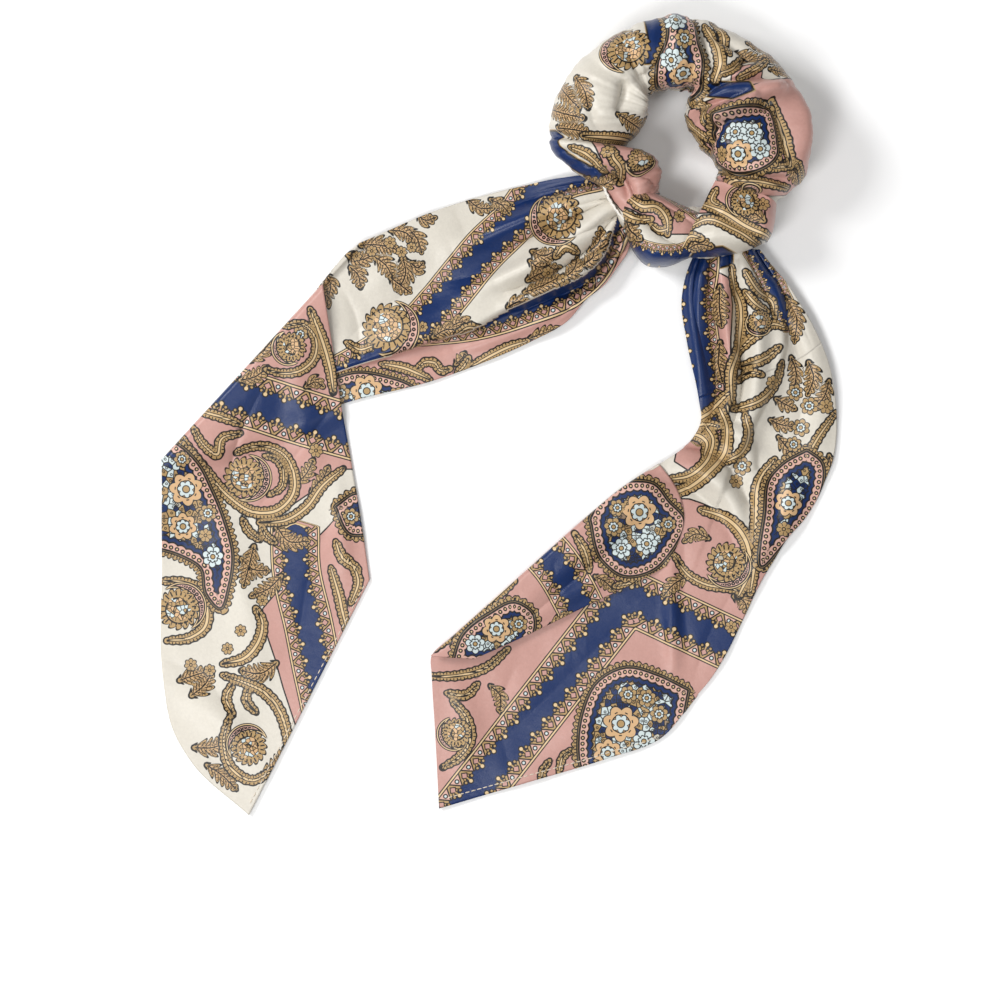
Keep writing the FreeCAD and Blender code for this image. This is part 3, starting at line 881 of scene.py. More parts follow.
LEFT_DESIGN = {
    "stripes": [([(40, 99), (26, 95.5), (15, 90), (7, 80), (-5.9, 67.1), (-15, 56.5), (-23, 46.7),
                  (-32, 36.5), (-44, 27.5), (-58, 19), (-76, 10)], 0.875)],
    "scrolls": [(1.5, (-62, 30), (-56, 27), (-50, 29)), (1.4, (-18, 33), (-12, 36), (-6, 35)),
                (1.6, (31, 66), (26, 68), (22, 64))],
    "leaves": [
        (2.4, (-13, 87.5), (-8, 84), (-3, 84)), (2.2, (-4, 87.5), (1, 85), (4, 81)),
        (2.4, (-33, 81), (-30, 79), (-26, 80)), (3.0, (-44, 75), (-38, 74), (-34, 70)),
        (3.0, (-36, 75), (-33, 71), (-31.5, 66)), (3.4, (-56, 69), (-49, 69), (-41, 67)),
        (3.2, (-61, 65), (-56, 63), (-51, 65)), (3.0, (-60, 60), (-57, 57), (-56, 52)),
        (3.2, (-50, 64), (-46, 61), (-43, 56)), (3.4, (-39, 64), (-38, 58), (-41, 51)),
        (2.8, (-44, 56), (-40, 53), (-36, 50)), (2.6, (-36, 62), (-33, 60), (-31, 62)),
        (2.8, (-70, 57), (-68, 53), (-69, 48)), (2.6, (-72, 52), (-70, 47), (-73, 43)),
        (3.0, (11, 55), (17, 58), (24, 60)), (3.0, (10, 49.5), (17, 52), (25, 56)),
        (2.8, (13, 66), (17, 64), (22, 66)), (2.8, (26, 55), (30, 59), (31, 64)),
        (2.4, (12, 62), (15, 60), (20, 61)), (2.6, (33, 60), (37, 63), (38, 68)),
        (2.8, (36, 66), (40, 70), (40, 75)), (2.4, (40, 66), (43, 69), (44, 73)),
        (2.6, (-27, 32), (-21, 35), (-15, 34)), (2.6, (-20, 36), (-15, 38), (-11, 36)),
        (2.2, (3, 44), (7, 46), (12, 46))],
    "blooms": [(-44.2, 70.0, 2.3), (-51.5, 66.6, 2.1), (-39.6, 66.2, 2.1), (-35.5, 68, 1.9),
               (19.2, 57.8, 2.4), (25.2, 54.2, 2.2), (-57.6, 64.6, 2.0), (-31, 36, 2.0)],
    "heads": [(24, 80, 8.8), (-45.5, 36.0, 9.35)],
}
LEFT_LOWER_DESIGN = {
    "pink": [[(-90, 40), (60, 80), (60, 0), (-90, -40)]],
    "stripes": [([(47, 86), (42.2, 74.3), (34.9, 60.1), (28.2, 54.1), (8.1, 45.2), (-10.8, 39.9),
                  (-28.8, 38.4), (-42, 38)], 0.9)],
    "medallions": [[(-70, 14), (-58, 17.6), (-46, 16), (-36, 12.4), (-31, 8), (-40, 2), (-60, -2),
                    (-74, 4)]],
    "scrolls": [
        (1.7, (-48, 21.5), (-38, 19.5), (-28, 15)),
        (1.5, (-33.5, 19), (-30, 22), (-26, 21.5), (-24, 18.6), (-20, 19.4)),
        (1.5, (-17.4, 17.6), (-14.5, 20.5), (-12.5, 24)),
        (1.8, (-12, 20), (-4, 24.5), (4, 28.4), (11, 30.6))],
    "leaves": [(2.2, (-18, 21), (-15, 24), (-14, 26)), (2.2, (12, 32), (18, 34), (24, 36))],
    "blooms": [(-53.6, 10.4, 6.4), (-41.5, 8.5, 3.4), (-64, 9.5, 3.6)],
}

LEFT_END_DESIGN = {
    "pink": [[(-150, 70), (-40, 70), (-40, -21), (-65.7, -21), (-72.3, -27.7), (-83, -35), (-89.6, -38.3),
              (-100.8, -39), (-109.5, -31), (-119.4, -19.7), (-127.4, -8.5), (-142, 4)],
             [(-40, -36), (-62, -38), (-66.1, -41), (-77, -52), (-85.5, -65.4), (-95.6, -77.2),
              (-93.9, -87.3), (-90.5, -97.4), (-87.2, -109.2), (-81.3, -126.9), (-74, -150), (-40, -100)]],
    "stripes": [
        ([(-140, 18.5), (-125, 13.4), (-110.1, 9.3), (-96.2, 5.3), (-82.9, 1.0), (-69.7, -3.1), (-52, -8)],
         1.08),
        ([(-82.5, -44), (-82, -61.2), (-77, -83.9), (-73.7, -100.8), (-71.2, -112), (-66, -140)], 0.94)],
    "medallions": [
        [(-144, -12), (-130, -11), (-122.7, -17), (-116, -29.7), (-110.8, -43), (-107.7, -55), (-109.2, -68),
         (-112.6, -77), (-118, -71), (-120, -60.7), (-127.7, -55.8), (-136, -53), (-146, -52)],
        [(-66, -36), (-58, -31), (-48, -34), (-50, -45), (-60, -47)]],
    "blooms": [(-126, -29, 6.6), (-127.5, -44, 5.4), (-117.4, -38.6, 3.4), (-118.4, -47.6, 2.6),
               (-115.4, -56.2, 4.2), (-127.4, -17, 3.0), (-95.6, -73.8, 2.2), (-104.2, -85.9, 2.2),
               (-109.6, -93.2, 2.2), (-116.8, -101.9, 2.2), (-124.4, -99.7, 2.4), (-74, -13.5, 2.6),
               (-80, 33, 3.0), (-60, -40, 3.2)],
    "heads": [(-103.0, -24.2, 7.8), (-129.3, -77.2, 8.0), (-83.6, 27.8, 5.6), (-101, -133, 6.8)],
    "scrolls": [
        (1.9, (-129.4, -5.8), (-120, -18.7), (-109.5, -31.7), (-98.9, -38.3), (-89.6, -37.6), (-83, -30.3),
         (-83, -22.4), (-87, -15.1), (-93.5, -11.8), (-101.5, -12.4), (-106.2, -14.4)),
        (1.3, (-94.9, -15.5), (-89.6, -17.4), (-87, -23), (-88, -28.4), (-93.2, -31.5)),
        (1.6, (-122.7, -4.5), (-119, -11), (-113.4, -15), (-111.8, -9), (-104, -6.5)),
        (1.8, (-97, -42.5), (-85.6, -41.3), (-77.6, -36), (-71.7, -28), (-63, -20.7)),
        (1.5, (-103.8, -41), (-101, -46), (-96.5, -49.6)), (1.5, (-96.2, -44), (-94, -48), (-90.2, -50.6)),
        (1.6, (-94, 19), (-88, 17.5), (-80, 18.5), (-74.6, 23.7), (-74, 31.3), (-79, 37), (-86.3, 36)),
        (2.0, (-76, 43), (-71.5, 31), (-68, 18), (-67, 10)),
        (2.0, (-136, -66), (-127.6, -66.5), (-120, -70.2), (-117.8, -77), (-118.8, -84.6), (-124.2, -88.6),
         (-134, -90)),
        (1.8, (-66, -50), (-63, -57), (-56.7, -61.2)),
        (1.8, (-68, -60.5), (-65, -71), (-63, -80), (-61, -88)), (1.6, (-61.5, -56), (-57, -66), (-60, -75)),
        (2.0, (-111.7, -99.4), (-102.3, -96.7), (-96.6, -89), (-95.7, -82.2), (-98.3, -77)),
        (1.9, (-111.7, -103.8), (-102.3, -107), (-95.6, -110.2), (-90, -116), (-86, -126), (-85, -138)),
        (1.6, (-107.4, -107), (-110, -113), (-107.4, -120)),
        (1.6, (-101.3, -109), (-102, -114), (-98, -119)),
        (1.8, (-109, -121), (-111, -131), (-108.2, -141.2), (-100, -146.2), (-91, -142)),
        (1.6, (-122, 2.5), (-112, 0), (-104, -3))],
    "leaves": [
        (2.4, (-82, -27), (-78, -23), (-75, -17)), (2.4, (-76, -30), (-72, -26), (-69, -20)),
        (3.4, (-90, -44), (-85, -50), (-77, -50)), (2.4, (-78, 12), (-74, 14), (-71, 12)),
        (3.0, (-104, -57), (-100, -61), (-93, -62)), (3.0, (-129, -106), (-123, -104), (-117, -102)),
        (3.2, (-124, -112), (-119, -108), (-116, -103)), (3.2, (-99, -52), (-101, -60), (-103, -68)),
        (3.0, (-88, -64), (-93, -69), (-100, -72)), (3.2, (-123, -133), (-116, -133), (-108, -130)),
        (3.4, (-90, -99), (-96, -103), (-104, -102)), (2.8, (-118, -140), (-112, -144), (-106, -150)),
        (2.6, (-100, 22), (-95, 26), (-90, 32)), (2.6, (-104, 14.5), (-98, 16), (-93, 20)),
        (2.6, (-96, -144), (-90, -140), (-85, -132))],
}


# ---------------------------------------------------------------- the right tail

RIGHT_LEFT_EDGE = [(79, 67), (75, 57), (73.2, 46.6), (75.2, 30.6), (80, 6.6), (80.8, -1.4), (76.8, -9.4),
                   (64, -19), (50, -28), (33, -42), (15, -58.05), (-5, -75.9), (-20, -89.3),
                   (-27.5, -96), (-27.4, -104), (-26.2, -125), (-24.5, -157.5)]
RIGHT_RIGHT_EDGE = [(104, 67), (109.5, 60), (114.4, 54.6), (119.6, 46.6), (124.4, 38.6), (128.4, 30.6),
                    (131.6, 22.6), (134.8, 6.6), (135.2, -9), (134, -17), (131, -25), (127.6, -33),
                    (122.4, -41), (115.2, -49), (110.4, -57), (105.6, -65), (98, -81), (90, -97),
                    (85, -105), (78, -113.4)]
RIGHT_END_CUT = [(-24.5, -157.5), (10, -147.3), (43, -137.4), (65, -129), (78, -113.4)]
# The line that the right tail's flap is folded over.
RIGHT_CREST = [(64, -19), (50, -28), (33, -42), (15, -58.05), (-5, -75.9), (-27.5, -96)]
CREST_HEADING = np.array([0.7461, 0.6659])
RIGHT_FOLDS = [
    ("ridge", 3.0, 3.5, [(80, 60), (78, 40), (80, 18), (82, 0)]),
    ("furrow", 4.4, 1.3, [(84, 62), (85.5, 40), (87, 20), (86, 4), (82, -6)]),
    ("ridge", 4.2, 3.6, [(90, 62), (90, 40), (92, 20), (90, 2), (84, -8)]),
    ("furrow", 3.4, 1.3, [(95, 63), (94, 46), (96, 28), (97, 10), (94, -2)]),
    ("ridge", 4.0, 4.0, [(99, 63), (101, 46), (103, 30), (102, 12), (98, -4)]),
    ("step", 4.2, 16.0, [(88.4, -32.5), (91, -25.4), (96, -15.4), (103.4, 0.3), (109, 11.7), (113.5, 24),
                         (114.5, 36), (111, 54)]),
    ("furrow", 7.5, 3.2, [(112.5, -6), (109, -14), (104.5, -22)]),
    ("ridge", 3.0, 6.0, [(116, 52), (124, 32), (129, 8), (126, -14)]),
    ("furrow", 2.2, 1.6, [(112, 44), (119, 24), (121, 2), (117, -12)]),
    ("ridge", 3.4, 4.0, [(82, -4), (93, -6), (99, -12), (103, -22)]),
    ("furrow", 3.6, 1.4, [(72, -12), (86, -15), (95, -24), (101, -36)]),
    ("ridge", 3.4, 4.5, [(66, -20), (80, -22), (92, -32), (99, -50)]),
    ("furrow", 3.0, 1.4, [(60, -24), (76, -29), (88, -40), (97, -58)]),
    ("ridge", 2.8, 4.5, [(104, -24), (106, -42), (102, -64)]),
    ("ridge", 3.0, 5.0, [(118, -22), (116, -38), (108, -54)]),
    ("ridge", 1.7, 3.0, [(69, -52), (69, -78), (70, -104)]),
    ("furrow", 0.9, 2.0, [(74, -50), (74, -76), (76, -100)]),
    ("furrow", 0.8, 2.5, [(48, -84), (20, -112), (-12, -142)]),
    ("ridge", 1.2, 8.0, [(66, -100), (40, -118), (8, -144)]),
    ("ridge", 1.2, 5.0, [(-20, -104), (-12, -124), (-18, -148)]),
    ("furrow", 0.7, 1.8, [(6, -100), (0, -120), (4, -142)]),
    ("furrow", 0.8, 1.8, [(94, -70), (84, -88), (78, -106)]),
]

FLAP_START = [(64, -19), (71, -29), (74, -41), (71, -52), (67, -60)]
FLAP_FREE_EDGE = [(67, -60), (55.6, -65.9), (33.9, -76.3), (6.2, -89.7), (-10.3, -97)]
FLAP_FOLDS = [
    ("ridge", 1.8, 5.0, [(58, -30), (44, -44), (24, -60), (2, -80)]),
    ("furrow", 1.2, 1.8, [(66, -34), (52, -48), (34, -62), (10, -82)]),
    ("ridge", 1.6, 4.5, [(66, -50), (50, -58), (34, -68), (12, -82)]),
    ("furrow", 1.0, 1.5, [(30, -46), (22, -56), (24, -72)]),
]


def right_level(layout):
    """Height of the right tail's cloth where it has spread out from the knot."""
    away = np.abs(beside(layout, line_of(RIGHT_CREST, 60), 60.0)[0])
    level = 1.0 + 3.0 * by_crest(away, 15)
    calm = 0.3 + 0.7 * ease((away - 2) / 16)
    level += fold_heights(layout, RIGHT_FOLDS, 1.3) * calm
    level += 0.3 * np.sin(layout[:, 0] * 0.13 + layout[:, 1] * 0.17) * calm
    return above_table(level), away


def right_tail_place(u, v):
    layout = spread(through(RIGHT_LEFT_EDGE), through(RIGHT_RIGHT_EDGE),
                    straight(RIGHT_LEFT_EDGE[0], RIGHT_RIGHT_EDGE[0]), through(RIGHT_END_CUT))(u, v)
    level, away = right_level(layout)
    bunch = 1 - ease(u / 0.30)
    level += gathered(bunch, v, 1.5, 7.0, 3.0, 5.5 * v + 0.4 * np.sin(6 * v) + 0.2)
    run = (layout - RIGHT_CREST[2]) @ CREST_HEADING
    turned = ease((44 - run) / 12) * ease((run + 80) / 10) * (v < 0.3)
    level += crest_turn(away) * turned
    return np.column_stack([layout, level]), layout


def flap_place(u, v):
    layout = spread(through(RIGHT_CREST), through(FLAP_FREE_EDGE),
                    through(FLAP_START), straight(RIGHT_CREST[-1], FLAP_FREE_EDGE[-1]))(u, v)
    level, away = right_level(layout)
    joined = ease(u / 0.10)
    lift = (1.3 + 3.1 * by_crest(away, 15)) * (0.25 + 0.75 * joined)
    lift += (fold_heights(layout, FLAP_FOLDS) * ease((away - 2) / 12) * joined).clip(-0.4, 4)
    tip = ease((1 - u) / 0.06)
    level = level + lift - crest_turn(away) * (0.4 + 0.6 * tip)
    return np.column_stack([layout, level]), layout


RIGHT_DESIGN = {
    "pink": [[(84, 62), (87, 57.8), (91.4, 55), (92.7, 44.4), (92, 31.6), (92.7, 9.3), (88, 2), (83, 4)],
             [(72, -8), (80, -7), (85, -10), (84, -20), (78, -23), (70, -18)],
             [(56, -32), (76, -33), (90, -38), (99, -48), (104, -62), (118, -60), (96, -110), (80, -125),
              (10, -175), (-45, -170), (-45, -90), (20, -50)]],
    "blue": [[(74, 66), (80, 70), (93, 68), (93, 61), (84, 58), (76, 58)]],
    "stripes": [
        ([(79, 70), (78.6, 57.8), (77.3, 47.6), (78.6, 34.8), (80.5, 22), (82, 9.3), (82.5, 1), (80, -9)],
         0.86),
        ([(101, 68), (108, 56), (112.4, 46), (118, 36)], 0.5)],
    "corners": [((51.3, -72), (-0.614, -0.789), (0.905, -0.425), 1.04)],
    "medallions": [
        [(123.4, -13.7), (113.7, -19.4), (108.4, -25.4), (106.5, -39), (105.3, -60), (114.1, -50.7),
         (125.1, -38.3), (129, -30), (129, -18)],
        [(75.7, -110), (63.4, -104), (50.4, -101), (39.5, -106.6), (33.5, -118.8), (31.8, -128),
         (33.9, -143), (50, -150), (70.4, -131)]],
    "blooms": [(109.2, 13.7, 2.6), (118.8, 9.9, 3.2), (124.5, 4.4, 3.4), (130.9, 4.2, 2.8),
               (121.1, -4.3, 3.4), (118.2, -11, 3.0), (115.8, -34.7, 5.3), (113.8, -45, 2.8),
               (97.4, -19.7, 3.5), (94.9, -25.9, 2.8), (48.6, -123.4, 7.2), (57.9, -130.5, 4.4),
               (51.5, -111.6, 3.4), (59, -113, 3.5), (64, -119.5, 3.5), (43.3, -135.3, 5.6),
               (93, -84.5, 2.4)],
    "heads": [(91, -58.5, 7.6), (104, 38, 4.2), (-17.5, -127, 5.6)],
    "scrolls": [
        (2.0, (92.7, 60), (93.2, 53.9), (96.5, 44.4), (96.5, 34.8), (95.2, 26.5), (92.7, 18.9), (92.7, 5.3)),
        (1.8, (95.2, 25.5), (102.2, 32.5), (109.2, 37), (114.7, 35.7)),
        (1.8, (96.5, 20), (105.4, 23.1), (112, 28)), (1.4, (95.2, 14), (100.3, 17.6), (104.9, 16.7)),
        (1.8, (113, 22), (111.4, 15.4), (106.4, 8.3), (99, 4.2), (93, 3)),
        (1.6, (98, 58), (103, 50), (109, 46), (110, 40)), (1.5, (98, 50), (103, 44), (107, 42)),
        (1.6, (134.9, 2), (126.9, -9.8), (123.3, -17.7), (129.1, -31.1)),
        (2.2, (110.6, -17), (104.4, -25.4), (103.1, -39), (102.6, -56.8), (100.7, -71)),
        (2.4, (88.3, 3.7), (91.1, -6.8), (90.4, -14), (83.3, -22.5), (74, -29.2), (62.4, -31.8)),
        (2.0, (80.6, -1.5), (85.4, -8.3), (83.9, -16.3), (76.3, -23.4), (68, -25)),
        (2.2, (75, -4), (80, -1), (86, 3.4), (92, 10)), (2.0, (72, -9), (78, -7), (83, -10), (82, -16)),
        (1.8, (74, -6.5), (82, -3), (88, -4)),
        (2.4, (80.6, -37.3), (92.4, -41.5), (98.9, -49.7), (100.7, -60.4), (96, -72)),
        (1.8, (98.4, 1), (99.4, -8), (97, -14), (91, -18)),
        (1.6, (70, -55.4), (74.9, -62.8), (83, -67.4), (90.7, -68.8), (97, -70)),
        (1.6, (-8.8, -107.1), (-13.2, -111.6), (-21.6, -110.9)),
        (1.7, (-19.3, -113.9), (-13.5, -120.9), (-11.9, -129.4), (-16.2, -136.7), (-23, -141)),
        (1.6, (-28.8, -104.2), (-16.7, -103.9), (-5.4, -100.6), (3.3, -93.2)),
        (1.3, (29.7, -133.5), (25.7, -136.1), (23.5, -143.2)), (1.3, (20, -138), (17, -143), (18, -150))],
    "leaves": [
        (2.8, (115, 48), (118.8, 40), (118.5, 30)), (2.6, (116.9, 24), (119, 18), (118.2, 11)),
        (2.6, (110.9, 7.3), (115, 5), (118.7, 3.2)), (2.6, (108.7, -1.2), (113, -3), (118.7, -4)),
        (2.6, (132, 14.5), (130, 8), (126, 2.9)), (2.6, (132.3, -15.4), (133, -20), (131, -27.4)),
        (2.8, (124, 22), (126, 16), (124, 9)), (2.6, (112, -8), (118, -14), (124, -12)),
        (2.6, (88, 52), (88, 44), (89, 36)), (2.6, (88.5, 30), (88, 22), (89.5, 14)),
        (2.8, (94.1, -72.1), (98, -74), (99.9, -79.1)), (2.6, (76, -64), (70, -67), (66, -72)),
        (2.4, (84, -49), (79, -47), (74, -50)), (2.4, (-4, -108), (0, -112), (0, -119))],
}

FLAP_DESIGN = {
    "pink": [[(-60, -130), (-60, -60), (70, 10), (90, -30), (80, -90)]],
    "stripes": [([(10, -46), (23, -60), (30, -72), (40, -94)], 0.92)],
    "medallions": [
        [(36.3, -41.1), (42.7, -30.7), (52.4, -26.4), (61.7, -27.3), (67.4, -34), (73.9, -41.1),
         (69.1, -53.3), (60.6, -61.8), (49.9, -63.7), (40.6, -56.8)],
        [(-19, -99), (-15, -88), (-4, -79), (6, -74.5), (13, -79), (12, -90), (0, -98)]],
    "blooms": [(55.8, -38.2, 6.8), (47, -36.5, 3.2), (45.4, -44.1, 3.6), (48.7, -52.8, 4.1),
               (58.9, -51, 4.3), (67.5, -43.1, 3.1), (-1.5, -85, 5.6), (7.5, -83, 3.4), (-10, -91, 3.8)],
    "scrolls": [(1.6, (-27, -94), (-14, -84), (-3, -74), (6, -66)),
                (1.7, (46, -68), (54, -66.5), (62, -65), (70, -60)), (1.6, (36, -62), (34, -54), (30, -47))],
    "leaves": [(2.4, (20, -84), (26, -81), (32, -80)), (2.2, (38, -64), (42, -66), (46, -70))],
}


# ---------------------------------------------------------------- the ring

# Round the casing: centre x and y, half width as a vector pointing outward, level, half height.
RING_STATIONS = [
    (101.3, 107.5, 22.3, 0.5, 17.8, 17.2), (96.0, 123.5, 22.0, 5.0, 17.8, 17.0),
    (92.3, 134.5, 16.8, 7.5, 17.0, 15.0), (82.0, 141.8, 7.0, 12.7, 16.5, 14.0),
    (67.5, 144.5, 2.5, 14.6, 16.8, 15.2), (52.5, 140.5, -5.5, 12.0, 16.8, 15.0),
    (45.3, 132.8, -13.2, 8.8, 17.4, 16.0), (39.0, 118.8, -18.5, 2.2, 17.8, 17.0),
    (36.5, 107.6, -15.8, -0.1, 15.5, 14.5), (43.5, 101.5, -14.5, -3.0, 15.0, 13.0),
    (52.2, 93.0, -10.2, -3.0, 12.5, 10.5), (57.5, 80.5, -5.5, -8.5, 11.5, 8.6),
    (71.5, 75.0, -0.5, -9.5, 11.5, 8.4), (86.0, 74.0, 2.5, -10.0, 12.0, 9.0),
    (95.0, 82.5, 9.5, -7.0, 14.0, 11.5), (100.2, 91.5, 13.6, -3.8, 16.0, 14.0),
    (103.2, 98.0, 17.6, -3.6, 17.0, 16.0)]

RING_FOLDS = [
    ("furrow", 4.0, 2.2, [(48.7, 132.5), (49.6, 126), (47, 119)]),
    ("ridge", 2.0, 3.0, [(53, 131), (56, 126), (56, 119)]),
    ("furrow", 1.8, 2.0, [(35, 126), (37, 116), (43, 109.5)]),
    ("furrow", 4.0, 1.8, [(18, 111.5), (32.3, 109.4), (44.6, 108), (60, 108.4)]),
    ("step", 2.6, 6.0, [(60, 107.4), (44.6, 107), (32.3, 108.4), (18, 110.5)]),
    ("ridge", 2.6, 5.0, [(40.5, 104.6), (52, 101), (63, 96)]),
    ("furrow", 2.4, 1.6, [(50, 94.5), (56, 95.4), (62, 91)]),
    ("furrow", 2.2, 1.4, [(24, 106), (32, 101.5), (39, 96)]),
    ("furrow", 4.0, 1.6, [(40, 98), (46, 93), (50, 86)]),
    ("furrow", 3.0, 1.3, [(47, 99), (51, 92), (54, 86)]),
    ("furrow", 1.6, 1.5, [(48, 150), (51.6, 142), (56, 130)]),
    ("furrow", 2.0, 1.3, [(64.2, 153), (64.6, 146), (62, 138), (55, 132)]),
    ("furrow", 3.2, 1.6, [(74, 160), (81, 146), (85, 132)]),
    ("step", 1.8, 5.0, [(84, 132), (80, 146), (73, 160)]),
    ("ridge", 1.6, 3.0, [(68, 158), (70, 145), (69, 131)]),
    ("furrow", 3.4, 1.8, [(84, 151), (92, 147.5), (103, 141)]),
    ("furrow", 4.0, 1.6, [(87, 132.5), (94.4, 138), (104, 144)]),
    ("ridge", 2.4, 2.6, [(84, 130), (94, 134.5), (104, 139)]),
    ("furrow", 4.0, 2.0, [(74, 129), (88, 131), (101, 133.6), (110, 134)]),
    ("step", 2.6, 6.0, [(110, 131), (101, 132.6), (88, 130), (74, 128)]),
    ("ridge", 4.4, 3.4, [(80, 115), (94, 122.5), (112, 131.5)]),
    ("furrow", 4.4, 1.6, [(76, 121), (88, 124), (99, 128)]),
    ("furrow", 3.2, 2.4, [(100, 127), (104, 124), (108, 125)]),
    ("furrow", 3.0, 1.5, [(83, 112), (92, 117), (108, 122.6)]),
    ("furrow", 3.0, 1.6, [(82, 118), (84.6, 112), (84, 103)]),
    ("ridge", 2.6, 5.0, [(115, 131), (119.5, 114), (117, 98)]),
    ("furrow", 2.4, 2.4, [(109, 122), (112.5, 110), (114, 100)]),
    ("furrow", 3.4, 1.5, [(84, 98.5), (97.6, 94.5), (115, 93.4)]),
    ("step", 2.4, 5.0, [(84, 99.5), (97.6, 95.5), (115, 94.4)]),
    ("ridge", 2.6, 2.4, [(84, 95.5), (97.6, 92), (114, 89.5)]),
    ("furrow", 5.0, 1.5, [(82, 91), (97.6, 88.4), (114, 85)]),
    ("ridge", 1.6, 3.0, [(86, 108), (97, 106), (106, 110)])]

RING_DESIGN = {
    "pink": [[(90, 128), (92, 138), (103, 139), (106, 131)],
             [(72, 128), (72, 98), (84, 98), (84, 108), (88, 116), (98, 124), (108, 124), (110, 104),
              (106, 100), (84, 92), (84, 82), (128, 82), (130, 120), (122, 134), (108, 132.5)],
             [(36, 108.5), (56, 108), (66, 98), (62, 88), (50, 80), (38, 92), (41, 100)]],
    "blue": [[(57, 160), (63.5, 160), (64.5, 150), (63.5, 139), (57, 138.5), (58.5, 148)],
             [(15, 114), (21, 113), (26.5, 104), (35, 98.5), (42, 98.5), (40, 93), (28, 94), (18, 102)],
             [(80, 131.6), (98, 131.5), (99, 127.4), (92, 124.6), (80, 126.6)]],
    "medallions": [
        [(64, 159), (73, 159), (77.5, 148), (80, 139), (79, 131), (66, 130), (62.5, 139), (66, 148)],
        [(86, 119), (97, 121), (106, 120.5), (108.5, 111), (109, 103), (101, 96.5), (90, 97), (85, 104)]],
    "blooms": [(67.6, 140.3, 4.4), (72.5, 135.6, 5.6), (69.2, 154.5, 4.4), (72.6, 148, 3.6),
               (92.7, 111.4, 4.0), (99, 110.8, 4.0), (102.3, 104.6, 4.0), (94.6, 102.6, 5.4),
               (88.8, 103, 2.8), (42, 104, 2.2)],
    "heads": [(50.6, 145, 8.6), (98, 84.6, 5.0), (53.5, 101, 4.4)],
    "scrolls": [
        (2.2, (81.3, 155), (86, 146), (87, 139), (83.8, 131)), (1.8, (84, 156), (90, 149), (91, 143)),
        (1.7, (31.3, 110.6), (42, 110), (52.9, 109.4)), (1.6, (42, 107), (44.6, 101.4), (48, 97), (46, 92)),
        (1.8, (56, 107), (60, 101), (65.8, 94.6)), (1.7, (28, 106), (35, 103), (41, 97)),
        (1.8, (118.5, 134), (122, 125), (126.6, 112)), (1.3, (115.5, 134), (119.6, 123), (123.6, 112)),
        (2.2, (107.2, 124), (112.1, 112), (114.4, 98)), (1.8, (74, 119), (79, 112), (84, 107)),
        (1.8, (75, 126), (80, 121), (83, 113)), (1.6, (76, 112), (81, 106), (85, 102)),
        (1.8, (84, 99), (97, 97), (114, 98)), (1.6, (86, 90), (98, 92.6), (114, 90)),
        (1.6, (84, 134), (92, 137), (98, 143)), (1.5, (94, 133), (100, 136), (106, 141)),
        (1.7, (116, 100), (119, 95), (122, 92)), (1.5, (61, 131), (70, 130), (79, 133))],
    "leaves": [
        (3.2, (24, 131), (27, 126), (31, 121)), (3.0, (20, 122), (26, 119), (33, 117)),
        (3.2, (30, 134), (33, 128), (34.5, 121)), (3.0, (22, 114), (28, 113), (35, 111.6)),
        (2.6, (46.6, 118.5), (51, 116), (57, 112.5)), (2.6, (28, 142), (32, 146), (38, 148)),
        (2.8, (95, 145.5), (101, 143), (107, 141)), (2.8, (103, 140), (108, 142), (114, 139)),
        (2.6, (98, 148), (104, 146), (109, 144)), (2.6, (107, 137), (111, 136), (116, 136)),
        (2.6, (76, 116), (78, 109), (78, 103)), (2.6, (36, 90), (42, 92), (47, 97)),
        (2.6, (112, 100), (116, 96), (118, 92)), (2.4, (86, 106), (84, 112), (83, 118)),
        (3.0, (34, 80), (42, 74), (50, 70)), (3.0, (60, 100), (66, 104), (72, 100)),
        (3.0, (130, 100), (136, 110), (134, 122)), (3.0, (40, 160), (52, 166), (66, 168)),
        (3.0, (90, 164), (102, 160), (112, 152)), (3.0, (8, 110), (10, 122), (16, 134))],
}

casing_line = through(RING_STATIONS, closed=True)


def unroll(points):
    """Places seen from above, moved to where they lie once the casing's round is laid flat."""
    stations = casing_line(np.linspace(0, 1, 720, endpoint=False))
    centre, half = stations[:, :2], stations[:, 2:4]
    moved = []
    for point in np.array(points, float).reshape(-1, np.shape(points)[-1]):
        rel = point[:2] - centre
        share = (rel * half).sum(1) / (half**2).sum(1)
        miss = np.linalg.norm(rel - share[:, None] * half, axis=1) + 20 * np.clip(np.abs(share) - 1, 0, None)
        best = miss.argmin()
        angle = math.asin(np.clip(share[best], -1, 1)) + (share[best] - np.clip(share[best], -1, 1))
        moved.append((*(centre[best] + half[best] * angle), *point[2:]))
    return moved


def unroll_design(design):
    flat = {kind: [unroll(outline) for outline in design[kind]] for kind in ("pink", "blue", "medallions")}
    for kind in ("blooms", "heads"):
        flat[kind] = unroll(design[kind])
    for kind in ("scrolls", "leaves"):
        flat[kind] = [(width, *unroll(points)) for width, *points in design[kind]]
    return flat


